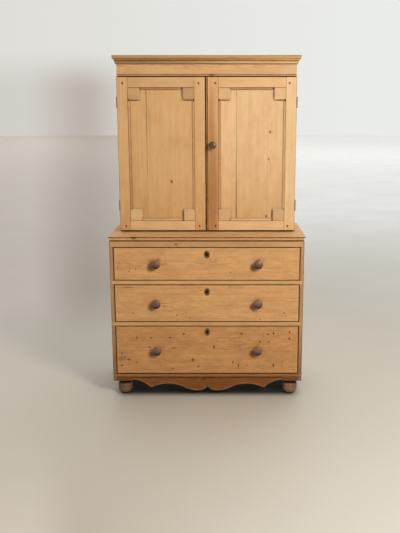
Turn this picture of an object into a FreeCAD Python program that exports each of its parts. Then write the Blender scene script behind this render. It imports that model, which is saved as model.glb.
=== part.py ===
"""Pine linen press: a three-drawer chest on turned feet with a two-door cupboard on top.

Millimetres, +Z up, the front towards -Y.  The origin is on the floor, under the middle of the press.
Every size is a cell of the sheet Sizes, and every place worked out from them is a value of Places.
"""
import FreeCAD, Part
import math
import os
import re
import Sketcher

SIZES = {
    # how far a cutting tool runs past the face it starts from
    "past": 1,
    # chest carcass
    "chest_wide": 1048, "chest_deep": 508, "side_thick": 20, "foot_high": 84, "kick_high": 24,
    "bottom_rail_high": 18, "divider_high": 22, "top_rail_high": 33, "rail_deep": 60, "rail_stub": 13,
    "bottom_opening": 278, "middle_opening": 211, "top_opening": 184,
    "housing": 6, "back_thick": 12, "back_rebate": 10, "back_tongue": 5, "back_tongue_thick": 4,
    "board_gap": 0.5,
    # chest top and its moulded edge
    "top_thick": 24, "top_lip_side": 6, "top_lip_front": 12, "arris_high": 3.5, "quirk_high": 1.5,
    "quirk_deep": 3, "ovolo_under": 8, "ovolo_round": 3.6,
    # runners, stops, feet and apron
    "runner_wide": 22, "stop_wide": 40, "stop_long": 12, "stop_high": 6, "stop_apart": 300,
    "stop_clear": 0.3, "foot_block_wide": 86, "foot_block_deep": 110, "foot_set_back": 45,
    "foot_in": 40, "foot_round": 37.5, "foot_pad_round": 22, "foot_neck_round": 25, "foot_collar_round": 29,
    "foot_pin_round": 12.5, "foot_bulge_high": 45, "foot_neck_high": 73, "foot_neck_drop": 4,
    "foot_pad_high": 5, "foot_pad_flare": 2, "foot_belly": 7, "foot_shoulder": 8,
    "foot_collar_rise": 3, "foot_collar_roll": 2,
    "apron_thick": 18, "apron_set_back": 3, "apron_shoulder_high": 89, "apron_tip_at": 312,
    "apron_tip_low": 45, "apron_tip_half": 10, "apron_tip_round": 4.5, "apron_arch_at": 220,
    "apron_arch_high": 67, "apron_lobe_at": 50, "apron_lobe_low": 26, "apron_cusp_high": 52,
    # cupboard carcass
    "ledge": 40, "cupboard_deep": 317, "cupboard_high": 903, "panel_board": 18, "shelf_set_back": 25,
    "batten_wide": 18, "batten_high": 25,
    "frieze_high": 62, "frieze_thick": 20, "frieze_inset": 2, "frieze_gap": 4, "bead_high": 8,
    "bead_quirk": 2, "bead_fullness": 0.45, "cornice_high": 45, "cornice_out": 21,
    "cornice_fillet_high": 18, "cornice_band_high": 10, "cornice_band_out": 9, "cornice_toe_out": 4,
    "cornice_step": 3, "cornice_cove": 2.5, "cornice_cove_lip": 1, "cornice_toe_roll": 1.5,
    # doors
    "door_thick": 22, "door_foot_gap": 8, "door_gap": 5, "meeting_shift": 6.5, "hinge_stile_wide": 58,
    "left_meeting_wide": 58.5, "right_meeting_wide": 66, "door_top_rail": 55, "door_bottom_rail": 54,
    "tenon_thick": 8, "tenon_shoulder": 6, "glue_gap": 0.1, "panel_recess": 9, "panel_thick": 8,
    "panel_groove": 8, "panel_gap": 0.5, "left_panel_joint": 328, "right_panel_joint": 160,
    "block_wide": 66, "block_thick": 8, "block_slope": 6, "strip_wide": 11, "strip_thick": 7,
    "strip_edge": 2, "peg_round": 4, "peg_proud": 0.5, "left_peg_in": 31, "right_peg_in": 39,
    "left_meeting_peg_in": 34, "right_meeting_peg_in": 49, "top_peg_down": 32, "bottom_peg_up": 23,
    "meeting_bead": 7,
    # butt hinges
    "hinge_gap": 1, "hinge_high": 58, "hinge_top_down": 134, "hinge_bottom_up": 135, "leaf_wide": 18,
    "leaf_thick": 1.5, "knuckle_round": 3, "knuckle_off": 0.5, "knuckle_gap": 0.15,
    "pin_round": 1.3, "pin_clear": 0.05, "pin_head_round": 2.5, "pin_head_high": 2,
    # turn knob of the right door and barrel bolt of the left door
    "turn_in": 35, "turn_high": 1376, "turn_round": 20, "turn_reach": 34, "turn_foot_round": 11,
    "turn_foot_reach": 3.3, "turn_foot_roll": 0.8, "turn_neck_round": 8.4, "turn_neck_reach": 12.2,
    "turn_neck_roll": 2, "turn_rim_reach": 23.1, "turn_rim_roll": 1.5, "turn_face_round": 17,
    "turn_face_dome": 3.4, "spindle_round": 4, "turn_clear": 0.08, "turn_gap": 0.3,
    "tongue_long": 56, "tongue_wide": 14, "tongue_thick": 3,
    "bolt_in": 28, "bolt_long": 120, "bolt_round": 4, "bolt_clear": 0.1, "bolt_down": 3,
    "bolt_plate_wide": 26, "bolt_plate_thick": 2, "bolt_plate_up": 4, "bolt_plate_down": 2,
    "staple_high": 12, "staple_wide": 18, "staple_thick": 3, "staple_apart": 60,
    "thumb_round": 3.5, "thumb_reach": 12,
    # drawers
    "drawer_gap": 3, "drawer_back_gap": 16, "front_thick": 20, "drawer_side_thick": 12,
    "drawer_side_drop": 6, "drawer_back_drop": 10, "lap": 5, "tail_wide": 26, "tail_flare": 3,
    "tail_pitch": 46, "bottom_thick": 8, "bottom_up": 8, "bottom_groove": 5,
    "knob_at": 277, "knob_round": 25, "knob_reach": 38, "knob_pin_round": 7, "knob_foot_round": 13,
    "knob_foot_reach": 3, "knob_foot_roll": 0.8, "knob_neck_round": 10, "knob_neck_reach": 13.7,
    "knob_neck_roll": 2.5, "knob_rim_reach": 24.3, "knob_rim_roll": 1.6, "knob_face_round": 21.2,
    "knob_face_dome": 4.6,
    "plate_half_wide": 15.5, "plate_half_high": 21, "plate_thick": 2, "plate_proud": 0.6,
    "keyhole_round": 3.5, "keyhole_wide": 3.4, "keyhole_long": 11,
    "top_key_down": 37.5, "middle_key_down": 38.5, "bottom_key_down": 32,
    "lock_half_wide": 32, "lock_thick": 12, "lock_below_key": 20, "lock_wall": 2.5,
    "lock_bolt_half_wide": 12, "lock_bolt_thick": 6, "lock_bolt_high": 26, "lock_bolt_clear": 0.3,
    "lock_bolt_down": 1, "mortise_deep": 12, "mortise_clear": 1.5,
}

PLACES = {
    # plan
    "half_chest": "chest_wide / 2",
    "inner_chest": "half_chest - side_thick",
    "back": "(chest_deep + knob_reach) / 2",
    "front": "back - chest_deep",
    "back_face": "back - back_thick",
    "rail_back": "front + rail_deep",
    "half_top": "half_chest + top_lip_side",
    "top_front": "front - top_lip_front",
    "half_cupboard": "half_chest - ledge",
    "inner_cupboard": "half_cupboard - side_thick",
    "cupboard_front": "back - cupboard_deep",
    "half_frieze": "half_cupboard - frieze_inset",
    "frieze_front": "cupboard_front - frieze_thick",
    "shelf_front": "cupboard_front + shelf_set_back",
    "door_back": "cupboard_front - hinge_gap",
    "door_front": "door_back - door_thick",
    "foot_inner": "inner_chest - foot_block_wide",
    "foot_at": "inner_chest - foot_in",
    # heights
    "floor_low": "foot_high + kick_high",
    "bottom_floor": "floor_low + bottom_rail_high",
    "lower_divider": "bottom_floor + bottom_opening",
    "middle_floor": "lower_divider + divider_high",
    "upper_divider": "middle_floor + middle_opening",
    "top_floor": "upper_divider + divider_high",
    "top_rail_low": "top_floor + top_opening",
    "case_top": "top_rail_low + top_rail_high",
    "deck": "case_top + top_thick",
    "cupboard_floor": "deck + panel_board",
    "cupboard_top": "deck + cupboard_high",
    "cupboard_ceiling": "cupboard_top - panel_board",
    "frieze_low": "cupboard_top - frieze_high",
    "door_low": "deck + door_foot_gap",
    "door_top": "frieze_low - frieze_gap",
    "shelf_step": "(cupboard_ceiling - cupboard_floor + panel_board) / 3",
    "lower_shelf": "cupboard_floor + shelf_step - panel_board",
    "upper_shelf": "lower_shelf + shelf_step",
    # doors
    "left_edge": "-meeting_shift - door_gap / 2",
    "right_edge": "-meeting_shift + door_gap / 2",
    "panel_front": "door_front + panel_recess",
    "panel_back": "panel_front + panel_thick",
    "panel_low": "door_low + door_bottom_rail",
    "panel_top": "door_top - door_top_rail",
    "tenon_front": "(panel_front + panel_back - tenon_thick) / 2",
    "pin_at": "half_cupboard + knuckle_round + knuckle_off",
    "pin_deep": "(cupboard_front + door_back) / 2",
    "upper_hinge": "door_top - hinge_top_down - hinge_high / 2",
    "lower_hinge": "door_low + hinge_bottom_up - hinge_high / 2",
    "turn_at": "right_edge + turn_in",
    "bolt_at": "left_edge - bolt_in",
    "bolt_deep": "door_back + bolt_plate_thick + bolt_round + bolt_clear",
    "bolt_top": "door_top - bolt_down",
    # drawers
    "drawer_half": "inner_chest - drawer_gap",
    "drawer_inner": "drawer_half - drawer_side_thick",
    "front_back": "front + front_thick",
    "drawer_end": "back_face - drawer_back_gap",
    "drawer_back_face": "drawer_end - drawer_side_thick",
    "lock_front": "front_back - lock_thick",
}

doc = FreeCAD.newDocument("LinenPress")
sheet = doc.addObject("Spreadsheet::Sheet", "Sizes")
for row, (word, size) in enumerate(SIZES.items(), start=1):
    sheet.set(f"A{row}", word)
    sheet.set(f"B{row}", str(size))
    sheet.setAlias(f"B{row}", word)
doc.recompute()


def words(text):
    """The text of a length, with each size and place named by the object that holds it."""
    def owner(match):
        word = match.group(0)
        if word in SIZES:
            return "Sizes." + word
        if word in PLACES:
            return "Places." + word
        return word
    return re.sub(r"[a-z_]+", owner, str(text))


places = doc.addObject("App::VarSet", "Places")
for word, text in PLACES.items():
    places.addProperty("App::PropertyFloat", word)
    places.setExpression(word, words(text))
doc.recompute()


def worth(text):
    """The present value of a length that is written in words."""
    return float(sheet.evalExpression(words(text)))


NODES = []


def node(label, thing):
    """Names a finished piece and lists it for export."""
    thing.Label = label
    NODES.append(thing)
    return thing


def bind(thing, **lengths):
    """Ties properties of an object to the sheet; base_x, base_y and base_z are its place."""
    for name, text in lengths.items():
        path = "Placement.Base." + name[-1] if name.startswith("base_") else name
        thing.setExpression(path, words(text))
    return thing


def board(name, x, y, z):
    """A straight board between two places along each axis."""
    thing = doc.addObject("Part::Box", name)
    return bind(
        thing, Length=f"({x[1]}) - ({x[0]})", Width=f"({y[1]}) - ({y[0]})",
        Height=f"({z[1]}) - ({z[0]})", base_x=x[0], base_y=y[0], base_z=z[0])


UPRIGHT = FreeCAD.Rotation()
BACKWARDS = FreeCAD.Rotation(FreeCAD.Vector(1, 0, 0), -90)


def rod(name, radius, start, length, turn=UPRIGHT):
    """A round rod or hole from a start point, upright or pointing backwards."""
    thing = doc.addObject("Part::Cylinder", name)
    thing.Placement = FreeCAD.Placement(FreeCAD.Vector(), turn)
    return bind(thing, Radius=radius, Height=length, base_x=start[0], base_y=start[1], base_z=start[2])


def fused(name, things):
    """One solid from several."""
    if len(things) == 1:
        return things[0]
    thing = doc.addObject("Part::MultiFuse", name)
    thing.Shapes = things
    thing.Refine = True
    return thing


def cut(name, base, tools):
    """A piece with housings, grooves or holes taken out."""
    thing = doc.addObject("Part::Cut", name)
    thing.Base = base
    thing.Tool = fused(name + "_tools", tools)
    return thing


def together(name, things):
    """Several loose pieces of one kind, kept as separate solids."""
    thing = doc.addObject("Part::Compound", name)
    thing.Links = things
    return thing


def mirrored(name, source, across="x", at=0):
    """The same piece for the other side of a plane across an axis."""
    thing = doc.addObject("Part::Mirroring", name)
    thing.Source = source
    thing.Normal = FreeCAD.Vector(*[1 if axis == across else 0 for axis in "xyz"])
    if at:
        thing.setExpression("Base." + across, words(at))
    return thing


def both_sides(name, right):
    """A right-hand piece with its left-hand twin."""
    return together(name, [right, mirrored(name + "_twin", right)])


# ---------------------------------------------------------------- sketches

def arc_between(start, stop, bulge):
    """An arc that bends to the left of its way by the bulge, and which end of it is the start."""
    chord = stop - start
    left = FreeCAD.Vector(-chord.y, chord.x, 0).normalize()
    radius = (chord.Length ** 2 / 4 + bulge ** 2) / (2 * abs(bulge))
    centre = (start + stop) / 2 + left * (bulge - math.copysign(radius, bulge))
    first, last = (stop, start) if bulge > 0 else (start, stop)
    angles = [math.atan2(spot.y - centre.y, spot.x - centre.x) for spot in (first, last)]
    if angles[1] < angles[0]:
        angles[1] += 2 * math.pi
    circle = Part.Circle(centre, FreeCAD.Vector(0, 0, 1), radius)
    return Part.ArcOfCircle(circle, *angles), (2, 1) if bulge > 0 else (1, 2)


def draw(sketch, outline):
    """A closed outline of corners (x, y) or (x, y, bulge); a bulge bends the edge to its left."""
    spots = [FreeCAD.Vector(worth(corner[0]), worth(corner[1]), 0) for corner in outline]
    count = len(outline)
    first = sketch.GeometryCount
    ends = []
    for here in range(count):
        start, stop = spots[here], spots[(here + 1) % count]
        if len(outline[here]) == 3:
            edge, order = arc_between(start, stop, worth(outline[here][2]))
        else:
            edge, order = Part.LineSegment(start, stop), (1, 2)
        sketch.addGeometry(edge, False)
        ends.append(order)
    rules, ties = [], []
    for here in range(count):
        after = (here + 1) % count
        edge = first + here
        rules.append(Sketcher.Constraint("Coincident", edge, ends[here][1], first + after, ends[after][0]))
        for kind, text, value in (("DistanceX", outline[here][0], spots[here].x),
                                  ("DistanceY", outline[here][1], spots[here].y)):
            ties.append((len(rules), text))
            rules.append(Sketcher.Constraint(kind, -1, 1, edge, ends[here][0], value))
        if len(outline[here]) == 3:
            x1, y1, bulge = outline[here]
            x2, y2 = outline[after][:2]
            chord = f"((({x2}) - ({x1}))^2 + (({y2}) - ({y1}))^2)"
            radius = f"({chord} / 4 + ({bulge})^2) / (2 * abs({bulge}))"
            ties.append((len(rules), radius))
            rules.append(Sketcher.Constraint("Radius", edge, worth(radius)))
    base = sketch.ConstraintCount
    sketch.addConstraint(rules)
    for index, text in ties:
        sketch.setExpression(f"Constraints[{base + index}]", words(text))


def level_arc(run, rise):
    """The bulge of an arc that leaves one of its ends level."""
    square = f"(({run})^2 + ({rise})^2)"
    radius = f"({square} / (2 * ({rise})))"
    return f"({radius} - sqrt({radius}^2 - {square} / 4))"


def sketched(body, name, plane, *outlines):
    """A sketch of one or more outlines on one of the body's own origin planes."""
    sketch = body.newObject("Sketcher::SketchObject", name)
    support = [item for item in body.Origin.OriginFeatures if item.Role == plane + "_Plane"][0]
    sketch.AttachmentSupport = [(support, "")]
    sketch.MapMode = "FlatFace"
    for outline in outlines:
        draw(sketch, outline)
    return sketch


def padded(name, plane, outline, length, middle=False, **place):
    """A body whose outline is pushed out to a length."""
    body = doc.addObject("PartDesign::Body", name)
    pad = body.newObject("PartDesign::Pad", name + "_pad")
    pad.Profile = sketched(body, name + "_outline", plane, outline)
    pad.Midplane = middle
    bind(pad, Length=length)
    bind(body, **place)
    return body


def pocketed(body, name, plane, *outlines):
    """Outlines taken right through a body."""
    pocket = body.newObject("PartDesign::Pocket", name)
    pocket.Profile = sketched(body, name + "_outline", plane, *outlines)
    pocket.Type = "ThroughAll"
    pocket.Midplane = True
    return body


def turned(name, plane, profile, **place):
    """A body turned about the upright axis of its sketch."""
    body = doc.addObject("PartDesign::Body", name)
    spun = body.newObject("PartDesign::Revolution", name + "_turning")
    spun.Profile = sketched(body, name + "_profile", plane, profile)
    spun.ReferenceAxis = (spun.Profile[0], ["V_Axis"])
    spun.Angle = 360
    return bind(body, **place)


# ---------------------------------------------------------------- the chest

RAILS = {
    "bottom": ("floor_low", "bottom_floor"),
    "lower": ("lower_divider", "middle_floor"),
    "upper": ("upper_divider", "top_floor"),
    "top": ("top_rail_low", "case_top"),
}
DRAWERS = {
    "top": ("top_floor", "top_rail_low", "top_key_down"),
    "middle": ("middle_floor", "upper_divider", "middle_key_down"),
    "bottom": ("bottom_floor", "lower_divider", "bottom_key_down"),
}


def chest_sides():
    """Two solid sides, housed for the rails and the bottom and rebated for the back."""
    side = board("chest_side_board", ("inner_chest", "half_chest"), ("front", "back"),
                 ("foot_high", "case_top"))
    stub = ("inner_chest", "inner_chest + rail_stub")
    tools = [board(f"{name}_rail_housing", stub, ("front", "rail_back"), span)
             for name, span in RAILS.items()]
    tools.append(board("rear_rail_housing", stub, ("back_face - rail_deep", "back_face"),
                       RAILS["top"]))
    tools.append(board("bottom_housing", ("inner_chest", "inner_chest + housing"),
                       ("rail_back", "back_face"), RAILS["bottom"]))
    tools.append(board("chest_back_rebate", ("inner_chest", "inner_chest + back_rebate"),
                       ("back_face", "back"), ("foot_high", "case_top")))
    right = node("chest_side_right", cut("chest_side_right", side, tools))
    node("chest_side_left", mirrored("chest_side_left", right))


def lock_room(name, ceiling):
    """The hole above a drawer lock for its bolt."""
    half = "(lock_bolt_half_wide + mortise_clear)"
    middle = "(lock_front + front_back) / 2"
    thick = "(lock_bolt_thick / 2 + mortise_clear)"
    return board(name, (f"-{half}", half), (f"{middle} - {thick}", f"{middle} + {thick}"),
                 (ceiling, f"{ceiling} + mortise_deep"))


def drawer_rails():
    """The top, bottom and two dividing rails, stub housed in the sides, and the rear top rail."""
    reach = "inner_chest + rail_stub"
    rails = []
    above = {"lower": "bottom", "upper": "middle", "top": "top"}
    for name, span in RAILS.items():
        rail = board(f"{name}_rail", (f"-({reach})", reach), ("front", "rail_back"), span)
        if name in above:
            ceiling = DRAWERS[above[name]][1]
            rail = cut(f"{name}_rail_cut", rail, [lock_room(f"{name}_rail_mortise", ceiling)])
        rails.append(rail)
    rails.append(board("rear_top_rail", (f"-({reach})", reach),
                       ("back_face - rail_deep", "back_face"), RAILS["top"]))
    node("drawer_rails", together("drawer_rails", rails))


def chest_boards():
    """The bottom board, housed in the sides, that the lowest drawer runs on."""
    reach = "inner_chest + housing"
    node("chest_bottom_board", board(
        "chest_bottom_board", (f"-({reach})", reach), ("rail_back", "back_face"), RAILS["bottom"]))


def tongued_boards(name, count, axis, reach, low, high):
    """A back of boards side by side, each with a tongue in the next one's groove."""
    wide = f"(({reach[1]}) - ({reach[0]})) / {count}"
    centre = "(back_face + back) / 2"
    tongue = (f"{centre} - back_tongue_thick / 2", f"{centre} + back_tongue_thick / 2")
    groove = (f"{tongue[0]} - board_gap / 2", f"{tongue[1]} + board_gap / 2")
    boards = []
    for number in range(count):
        start = f"({reach[0]}) + {number} * {wide}"
        stop = f"({reach[0]}) + {number + 1} * {wide}"
        last = number == count - 1
        across = (start, stop if last else f"{stop} - board_gap")

        def piece(part, span, depth):
            sides = (span, (low, high)) if axis == "x" else ((low, high), span)
            return board(f"{name}_{part}_{number}", sides[0], depth, sides[1])
        plank = piece("plank", across, ("back_face", "back"))
        if not last:
            lip = (f"{stop} - 2 * board_gap", f"{stop} + back_tongue")
            plank = fused(f"{name}_tongued_{number}", [plank, piece("tongue", lip, tongue)])
        if number:
            slot = (start, f"{start} + back_tongue + board_gap")
            plank = cut(f"{name}_grooved_{number}", plank, [piece("groove", slot, groove)])
        boards.append(plank)
    node(name, together(name, boards))


def chest_top():
    """The top board, its front and ends run with a quirked ovolo."""
    top = padded("chest_top_board", "XY", [
        ("-half_top", "top_front"), ("half_top", "top_front"), ("half_top", "back"),
        ("-half_top", "back")], "top_thick", base_z="case_top")

    def moulding(edge, inward):
        """The waste below the arris, from the edge of the board inwards."""
        def away(text):
            return f"{edge} {inward} ({text})"
        return [
            (away("-past"), "top_thick - arris_high"),
            (away("quirk_deep"), "top_thick - arris_high"),
            (away("quirk_deep"), "top_thick - arris_high - quirk_high",
             "ovolo_round" if inward == "+" else "-ovolo_round"),
            (away("ovolo_under"), "0"),
            (away("ovolo_under"), "-past"),
            (away("-past"), "-past"),
        ]
    pocketed(top, "front_moulding", "YZ", moulding("top_front", "+"))
    pocketed(top, "end_mouldings", "XZ", moulding("half_top", "-"), moulding("-half_top", "+"))
    node("chest_top_board", top)


def runners():
    """Runners behind the dividers, kickers under the top, and a pair of stops for each drawer."""
    spans = {"lower": RAILS["lower"], "upper": RAILS["upper"], "kicker": RAILS["top"]}
    pieces = []
    for name, span in spans.items():
        stop = "back_face - rail_deep" if name == "kicker" else "back_face"
        rail = board(f"{name}_runner", ("inner_chest - runner_wide", "inner_chest"),
                     ("rail_back", stop), span)
        pieces += [rail, mirrored(f"{name}_runner_twin", rail)]
    for name, (floor, _, _) in DRAWERS.items():
        begin = "front_back + stop_clear"
        stop = board(f"{name}_stop", ("stop_apart - stop_wide / 2", "stop_apart + stop_wide / 2"),
                     (begin, f"{begin} + stop_long"), (floor, f"{floor} + stop_high"))
        pieces += [stop, mirrored(f"{name}_stop_twin", stop)]
    node("drawer_runners_and_stops", together("drawer_runners_and_stops", pieces))


def feet():
    """Turned bun feet, each with a pin in a block under the corner of the chest."""
    foot = turned("front_foot", "XZ", [
        ("0", "0"),
        ("foot_pad_round", "0"),
        ("foot_pad_round + foot_pad_flare", "foot_pad_high", "-foot_belly"),
        ("foot_round", "foot_bulge_high", "-foot_shoulder"),
        ("foot_neck_round", "foot_neck_high - foot_neck_drop"),
        ("foot_neck_round", "foot_neck_high"),
        ("foot_collar_round", "foot_neck_high + foot_collar_rise", "-foot_collar_roll"),
        ("foot_collar_round", "foot_high"),
        ("foot_pin_round", "foot_high"),
        ("foot_pin_round", "floor_low"),
        ("0", "floor_low"),
    ], base_x="foot_at", base_y="front + foot_set_back")
    block_x = ("foot_inner", "inner_chest")
    hole = rod("foot_hole", "foot_pin_round", ("foot_at", "front + foot_set_back", "foot_high"),
               "kick_high")
    front_block = board("front_block_board", block_x, ("front", "front + foot_block_deep"),
                        ("foot_high", "floor_low"))
    rear_hole = rod("rear_foot_hole", "foot_pin_round",
                    ("foot_at", "back - foot_set_back", "foot_high"), "kick_high")
    rear_block = board("rear_block_board", block_x, ("back_face - foot_block_deep", "back_face"),
                       ("foot_high", "floor_low"))
    blocks = both_sides("front_blocks", cut("front_block", front_block, [hole]))
    rear_blocks = both_sides("rear_blocks", cut("rear_block", rear_block, [rear_hole]))
    node("foot_blocks", together("foot_blocks", [blocks, rear_blocks]))
    pair = both_sides("front_feet", foot)
    rear_pair = mirrored("rear_feet", pair, "y", "(front + back) / 2")
    node("turned_feet", together("turned_feet", [pair, rear_pair]))


def apron():
    """The scalloped apron between the front foot blocks."""
    tip_outer = "apron_tip_at + apron_tip_half"
    tip_inner = "apron_tip_at - apron_tip_half"
    tip_side = "apron_tip_low + apron_tip_round"
    arch_inner = f"2 * apron_arch_at - ({tip_inner})"
    scallops = [
        ("foot_inner", "apron_shoulder_high",
         "-" + level_arc(f"foot_inner - ({tip_outer})", f"apron_shoulder_high - ({tip_side})")),
        (tip_outer, tip_side, "apron_tip_round"),
        (tip_inner, tip_side, f"-(apron_arch_high - ({tip_side}))"),
        (arch_inner, tip_side, level_arc(f"{arch_inner} - apron_lobe_at",
                                         f"{tip_side} - apron_lobe_low")),
        ("apron_lobe_at", "apron_lobe_low",
         level_arc("apron_lobe_at", "apron_cusp_high - apron_lobe_low")),
    ]
    bends = [bend for _, _, bend in reversed(scallops)]
    ends = [("0", "apron_cusp_high")] + [(f"-({x})", z) for x, z, _ in reversed(scallops)]
    outline = [("foot_inner", "floor_low")] + scallops
    outline += [(x, z, bend) for (x, z), bend in zip(ends, bends)]
    outline += [ends[-1], ("-foot_inner", "floor_low")]
    node("apron", padded("apron", "XZ", outline, "apron_thick",
                         base_y="front + apron_set_back + apron_thick"))


# ---------------------------------------------------------------- the cupboard

def hinge_slot(name, low, face):
    """The shallow bed of a hinge leaf in a front or back face."""
    return board(name, ("half_cupboard - leaf_wide", "half_cupboard"), face,
                 (low, f"{low} + hinge_high"))


def cupboard_sides():
    """Two sides, housed for the top and bottom, rebated for the back and let in for the hinges."""
    side = board("cupboard_side_board", ("inner_cupboard", "half_cupboard"),
                 ("cupboard_front", "back"), ("deck", "cupboard_top"))
    slot = ("inner_cupboard", "inner_cupboard + housing")
    leaf = ("cupboard_front", "cupboard_front + leaf_thick")
    tools = [
        board("floor_housing", slot, ("cupboard_front", "back_face"), ("deck", "cupboard_floor")),
        board("ceiling_housing", slot, ("cupboard_front", "back_face"),
              ("cupboard_ceiling", "cupboard_top")),
        board("cupboard_back_rebate", ("inner_cupboard", "inner_cupboard + back_rebate"),
              ("back_face", "back"), ("deck", "cupboard_top")),
        hinge_slot("upper_case_bed", "upper_hinge", leaf),
        hinge_slot("lower_case_bed", "lower_hinge", leaf),
    ]
    right = node("cupboard_side_right", cut("cupboard_side_right", side, tools))
    node("cupboard_side_left", mirrored("cupboard_side_left", right))


def cupboard_boards():
    """Floor and ceiling housed in the sides, and two shelves on battens."""
    reach = "inner_cupboard + housing"
    wide = (f"-({reach})", reach)
    deep = ("cupboard_front", "back_face")
    node("cupboard_bottom_board",
         board("cupboard_bottom_board", wide, deep, ("deck", "cupboard_floor")))
    node("cupboard_top_board",
         board("cupboard_top_board", wide, deep, ("cupboard_ceiling", "cupboard_top")))
    shelves, battens = [], []
    for name in ("lower_shelf", "upper_shelf"):
        shelves.append(board(f"{name}_board", ("-inner_cupboard", "inner_cupboard"),
                             ("shelf_front", "back_face"), (name, f"{name} + panel_board")))
        batten = board(f"{name}_batten", ("inner_cupboard - batten_wide", "inner_cupboard"),
                       ("shelf_front", "back_face"), (f"{name} - batten_high", name))
        battens += [batten, mirrored(f"{name}_batten_twin", batten)]
    node("cupboard_shelves", together("cupboard_shelves", shelves))
    node("shelf_battens", together("shelf_battens", battens))


def frieze():
    """The board above the doors, with a quirked bead along its lower edge."""
    outline = [
        ("cupboard_front", "frieze_low"),
        ("frieze_front + bead_high / 2", "frieze_low", "bead_fullness * bead_high"),
        ("frieze_front + bead_high / 2", "frieze_low + bead_high"),
        ("frieze_front + bead_high / 2", "frieze_low + bead_high + bead_quirk"),
        ("frieze_front", "frieze_low + bead_high + bead_quirk"),
        ("frieze_front", "cupboard_top"),
        ("cupboard_front", "cupboard_top"),
    ]
    node("frieze_board", padded("frieze_board", "YZ", outline, "2 * half_frieze", middle=True))


def cornice():
    """Three lengths of moulding on top of the cupboard, mitred at the front corners."""
    deep = "frieze_thick + cornice_out"
    cove_low = "cornice_band_high + cornice_step"
    fillet_low = "cornice_high - cornice_fillet_high"

    def section(face, outward):
        """Band, step, cove and square fillet, from the face of the frieze outwards."""
        def at(out, up, bulge=None):
            place = (f"{face} {outward} ({out})", f"cupboard_top + ({up})")
            if bulge is None:
                return place
            return place + (bulge if outward == "+" else f"-({bulge})",)
        return [
            at("-frieze_thick", "0"),
            at("cornice_toe_out", "0", "-cornice_toe_roll"),
            at("cornice_band_out", "cornice_band_high"),
            at("cornice_band_out - cornice_step", "cornice_band_high"),
            at("cornice_band_out - cornice_step", cove_low),
            at("cornice_band_out + cornice_cove_lip", cove_low, "cornice_cove"),
            at("cornice_out - cornice_cove_lip", fillet_low),
            at("cornice_out", fillet_low),
            at("cornice_out", "cornice_high"),
            at("-frieze_thick", "cornice_high"),
        ]
    outer_x, outer_y = "half_frieze + cornice_out", "frieze_front - cornice_out"
    inner_x, inner_y = f"{outer_x} - ({deep})", f"{outer_y} + {deep}"
    front = padded("cornice_front", "YZ", section("frieze_front", "-"), f"2 * ({outer_x})",
                   middle=True)
    pocketed(front, "cornice_mitres", "XY",
             [(outer_x, outer_y), (outer_x, inner_y), (inner_x, inner_y)],
             [(f"-({outer_x})", outer_y), (f"-({inner_x})", inner_y), (f"-({outer_x})", inner_y)])
    side = padded("cornice_return", "XZ", section("half_frieze", "+"), f"back - ({outer_y})",
                  base_y="back")
    pocketed(side, "return_mitre", "XY",
             [(outer_x, f"{outer_y} - back"), (inner_x, f"{inner_y} - back"),
              (inner_x, f"{outer_y} - back")])
    node("cornice_moulding", together(
        "cornice_moulding", [front, side, mirrored("cornice_return_twin", side)]))


def hinges():
    """Four butt hinges: the leaves on the case, and their pins."""
    leaves, pins = [], []
    for name in ("upper_hinge", "lower_hinge"):
        third = "hinge_high / 3"
        spans = [(name, f"{name} + {third}"), (f"{name} + 2 * {third}", f"{name} + hinge_high")]
        face = ("cupboard_front", "cupboard_front + leaf_thick")
        parts = [hinge_slot(f"{name}_case_plate", name, face)]
        for number, (low, high) in enumerate(spans):
            parts.append(board(f"{name}_case_tab_{number}", ("half_cupboard", "pin_at"), face,
                               (low, high)))
            parts.append(rod(f"{name}_case_knuckle_{number}", "knuckle_round",
                             ("pin_at", "pin_deep", low), f"({high}) - ({low})"))
        bore = rod(f"{name}_case_bore", "pin_round + pin_clear / 2", ("pin_at", "pin_deep", name),
                   "hinge_high")
        leaf = cut(f"{name}_case_leaf", fused(f"{name}_case_leaf_blank", parts), [bore])
        leaves += [leaf, mirrored(f"{name}_case_leaf_twin", leaf)]
        shank = rod(f"{name}_pin_shank", "pin_round", ("pin_at", "pin_deep", name), "hinge_high")
        head = rod(f"{name}_pin_head", "pin_head_round",
                   ("pin_at", "pin_deep", f"{name} + hinge_high"), "pin_head_high")
        pin = fused(f"{name}_pin", [shank, head])
        pins += [pin, mirrored(f"{name}_pin_twin", pin)]
    node("hinge_case_leaves", together("hinge_case_leaves", leaves))
    node("hinge_pins", together("hinge_pins", pins))


# ---------------------------------------------------------------- the doors

class Door:
    """The places of one door: its edges, its two stiles and its panel opening."""

    def __init__(self, side):
        self.side = side
        if side == "right":
            self.low, self.high = "right_edge", "half_cupboard"
            self.stiles = {"meeting": ("right_edge", "right_edge + right_meeting_wide"),
                           "hinge": ("half_cupboard - hinge_stile_wide", "half_cupboard")}
            self.opening = (self.stiles["meeting"][1], self.stiles["hinge"][0])
            self.pegs = ("right_edge + right_meeting_peg_in", "half_cupboard - right_peg_in")
            self.joint = "right_panel_joint"
        else:
            self.low, self.high = "-half_cupboard", "left_edge"
            self.stiles = {"meeting": ("left_edge - left_meeting_wide", "left_edge"),
                           "hinge": ("-half_cupboard", "-half_cupboard + hinge_stile_wide")}
            self.opening = (self.stiles["hinge"][1], self.stiles["meeting"][0])
            self.pegs = ("-half_cupboard + left_peg_in", "left_edge - left_meeting_peg_in")
            self.joint = "-left_panel_joint"

    def name(self, part):
        return f"{self.side}_door_{part}"


def grown(span, by):
    """A span made longer by the same amount at both ends."""
    return (f"{span[0]} - ({by})", f"{span[1]} + ({by})")


def door_rail_spans():
    return {"top": ("panel_top", "door_top"), "bottom": ("door_low", "panel_low")}


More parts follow.
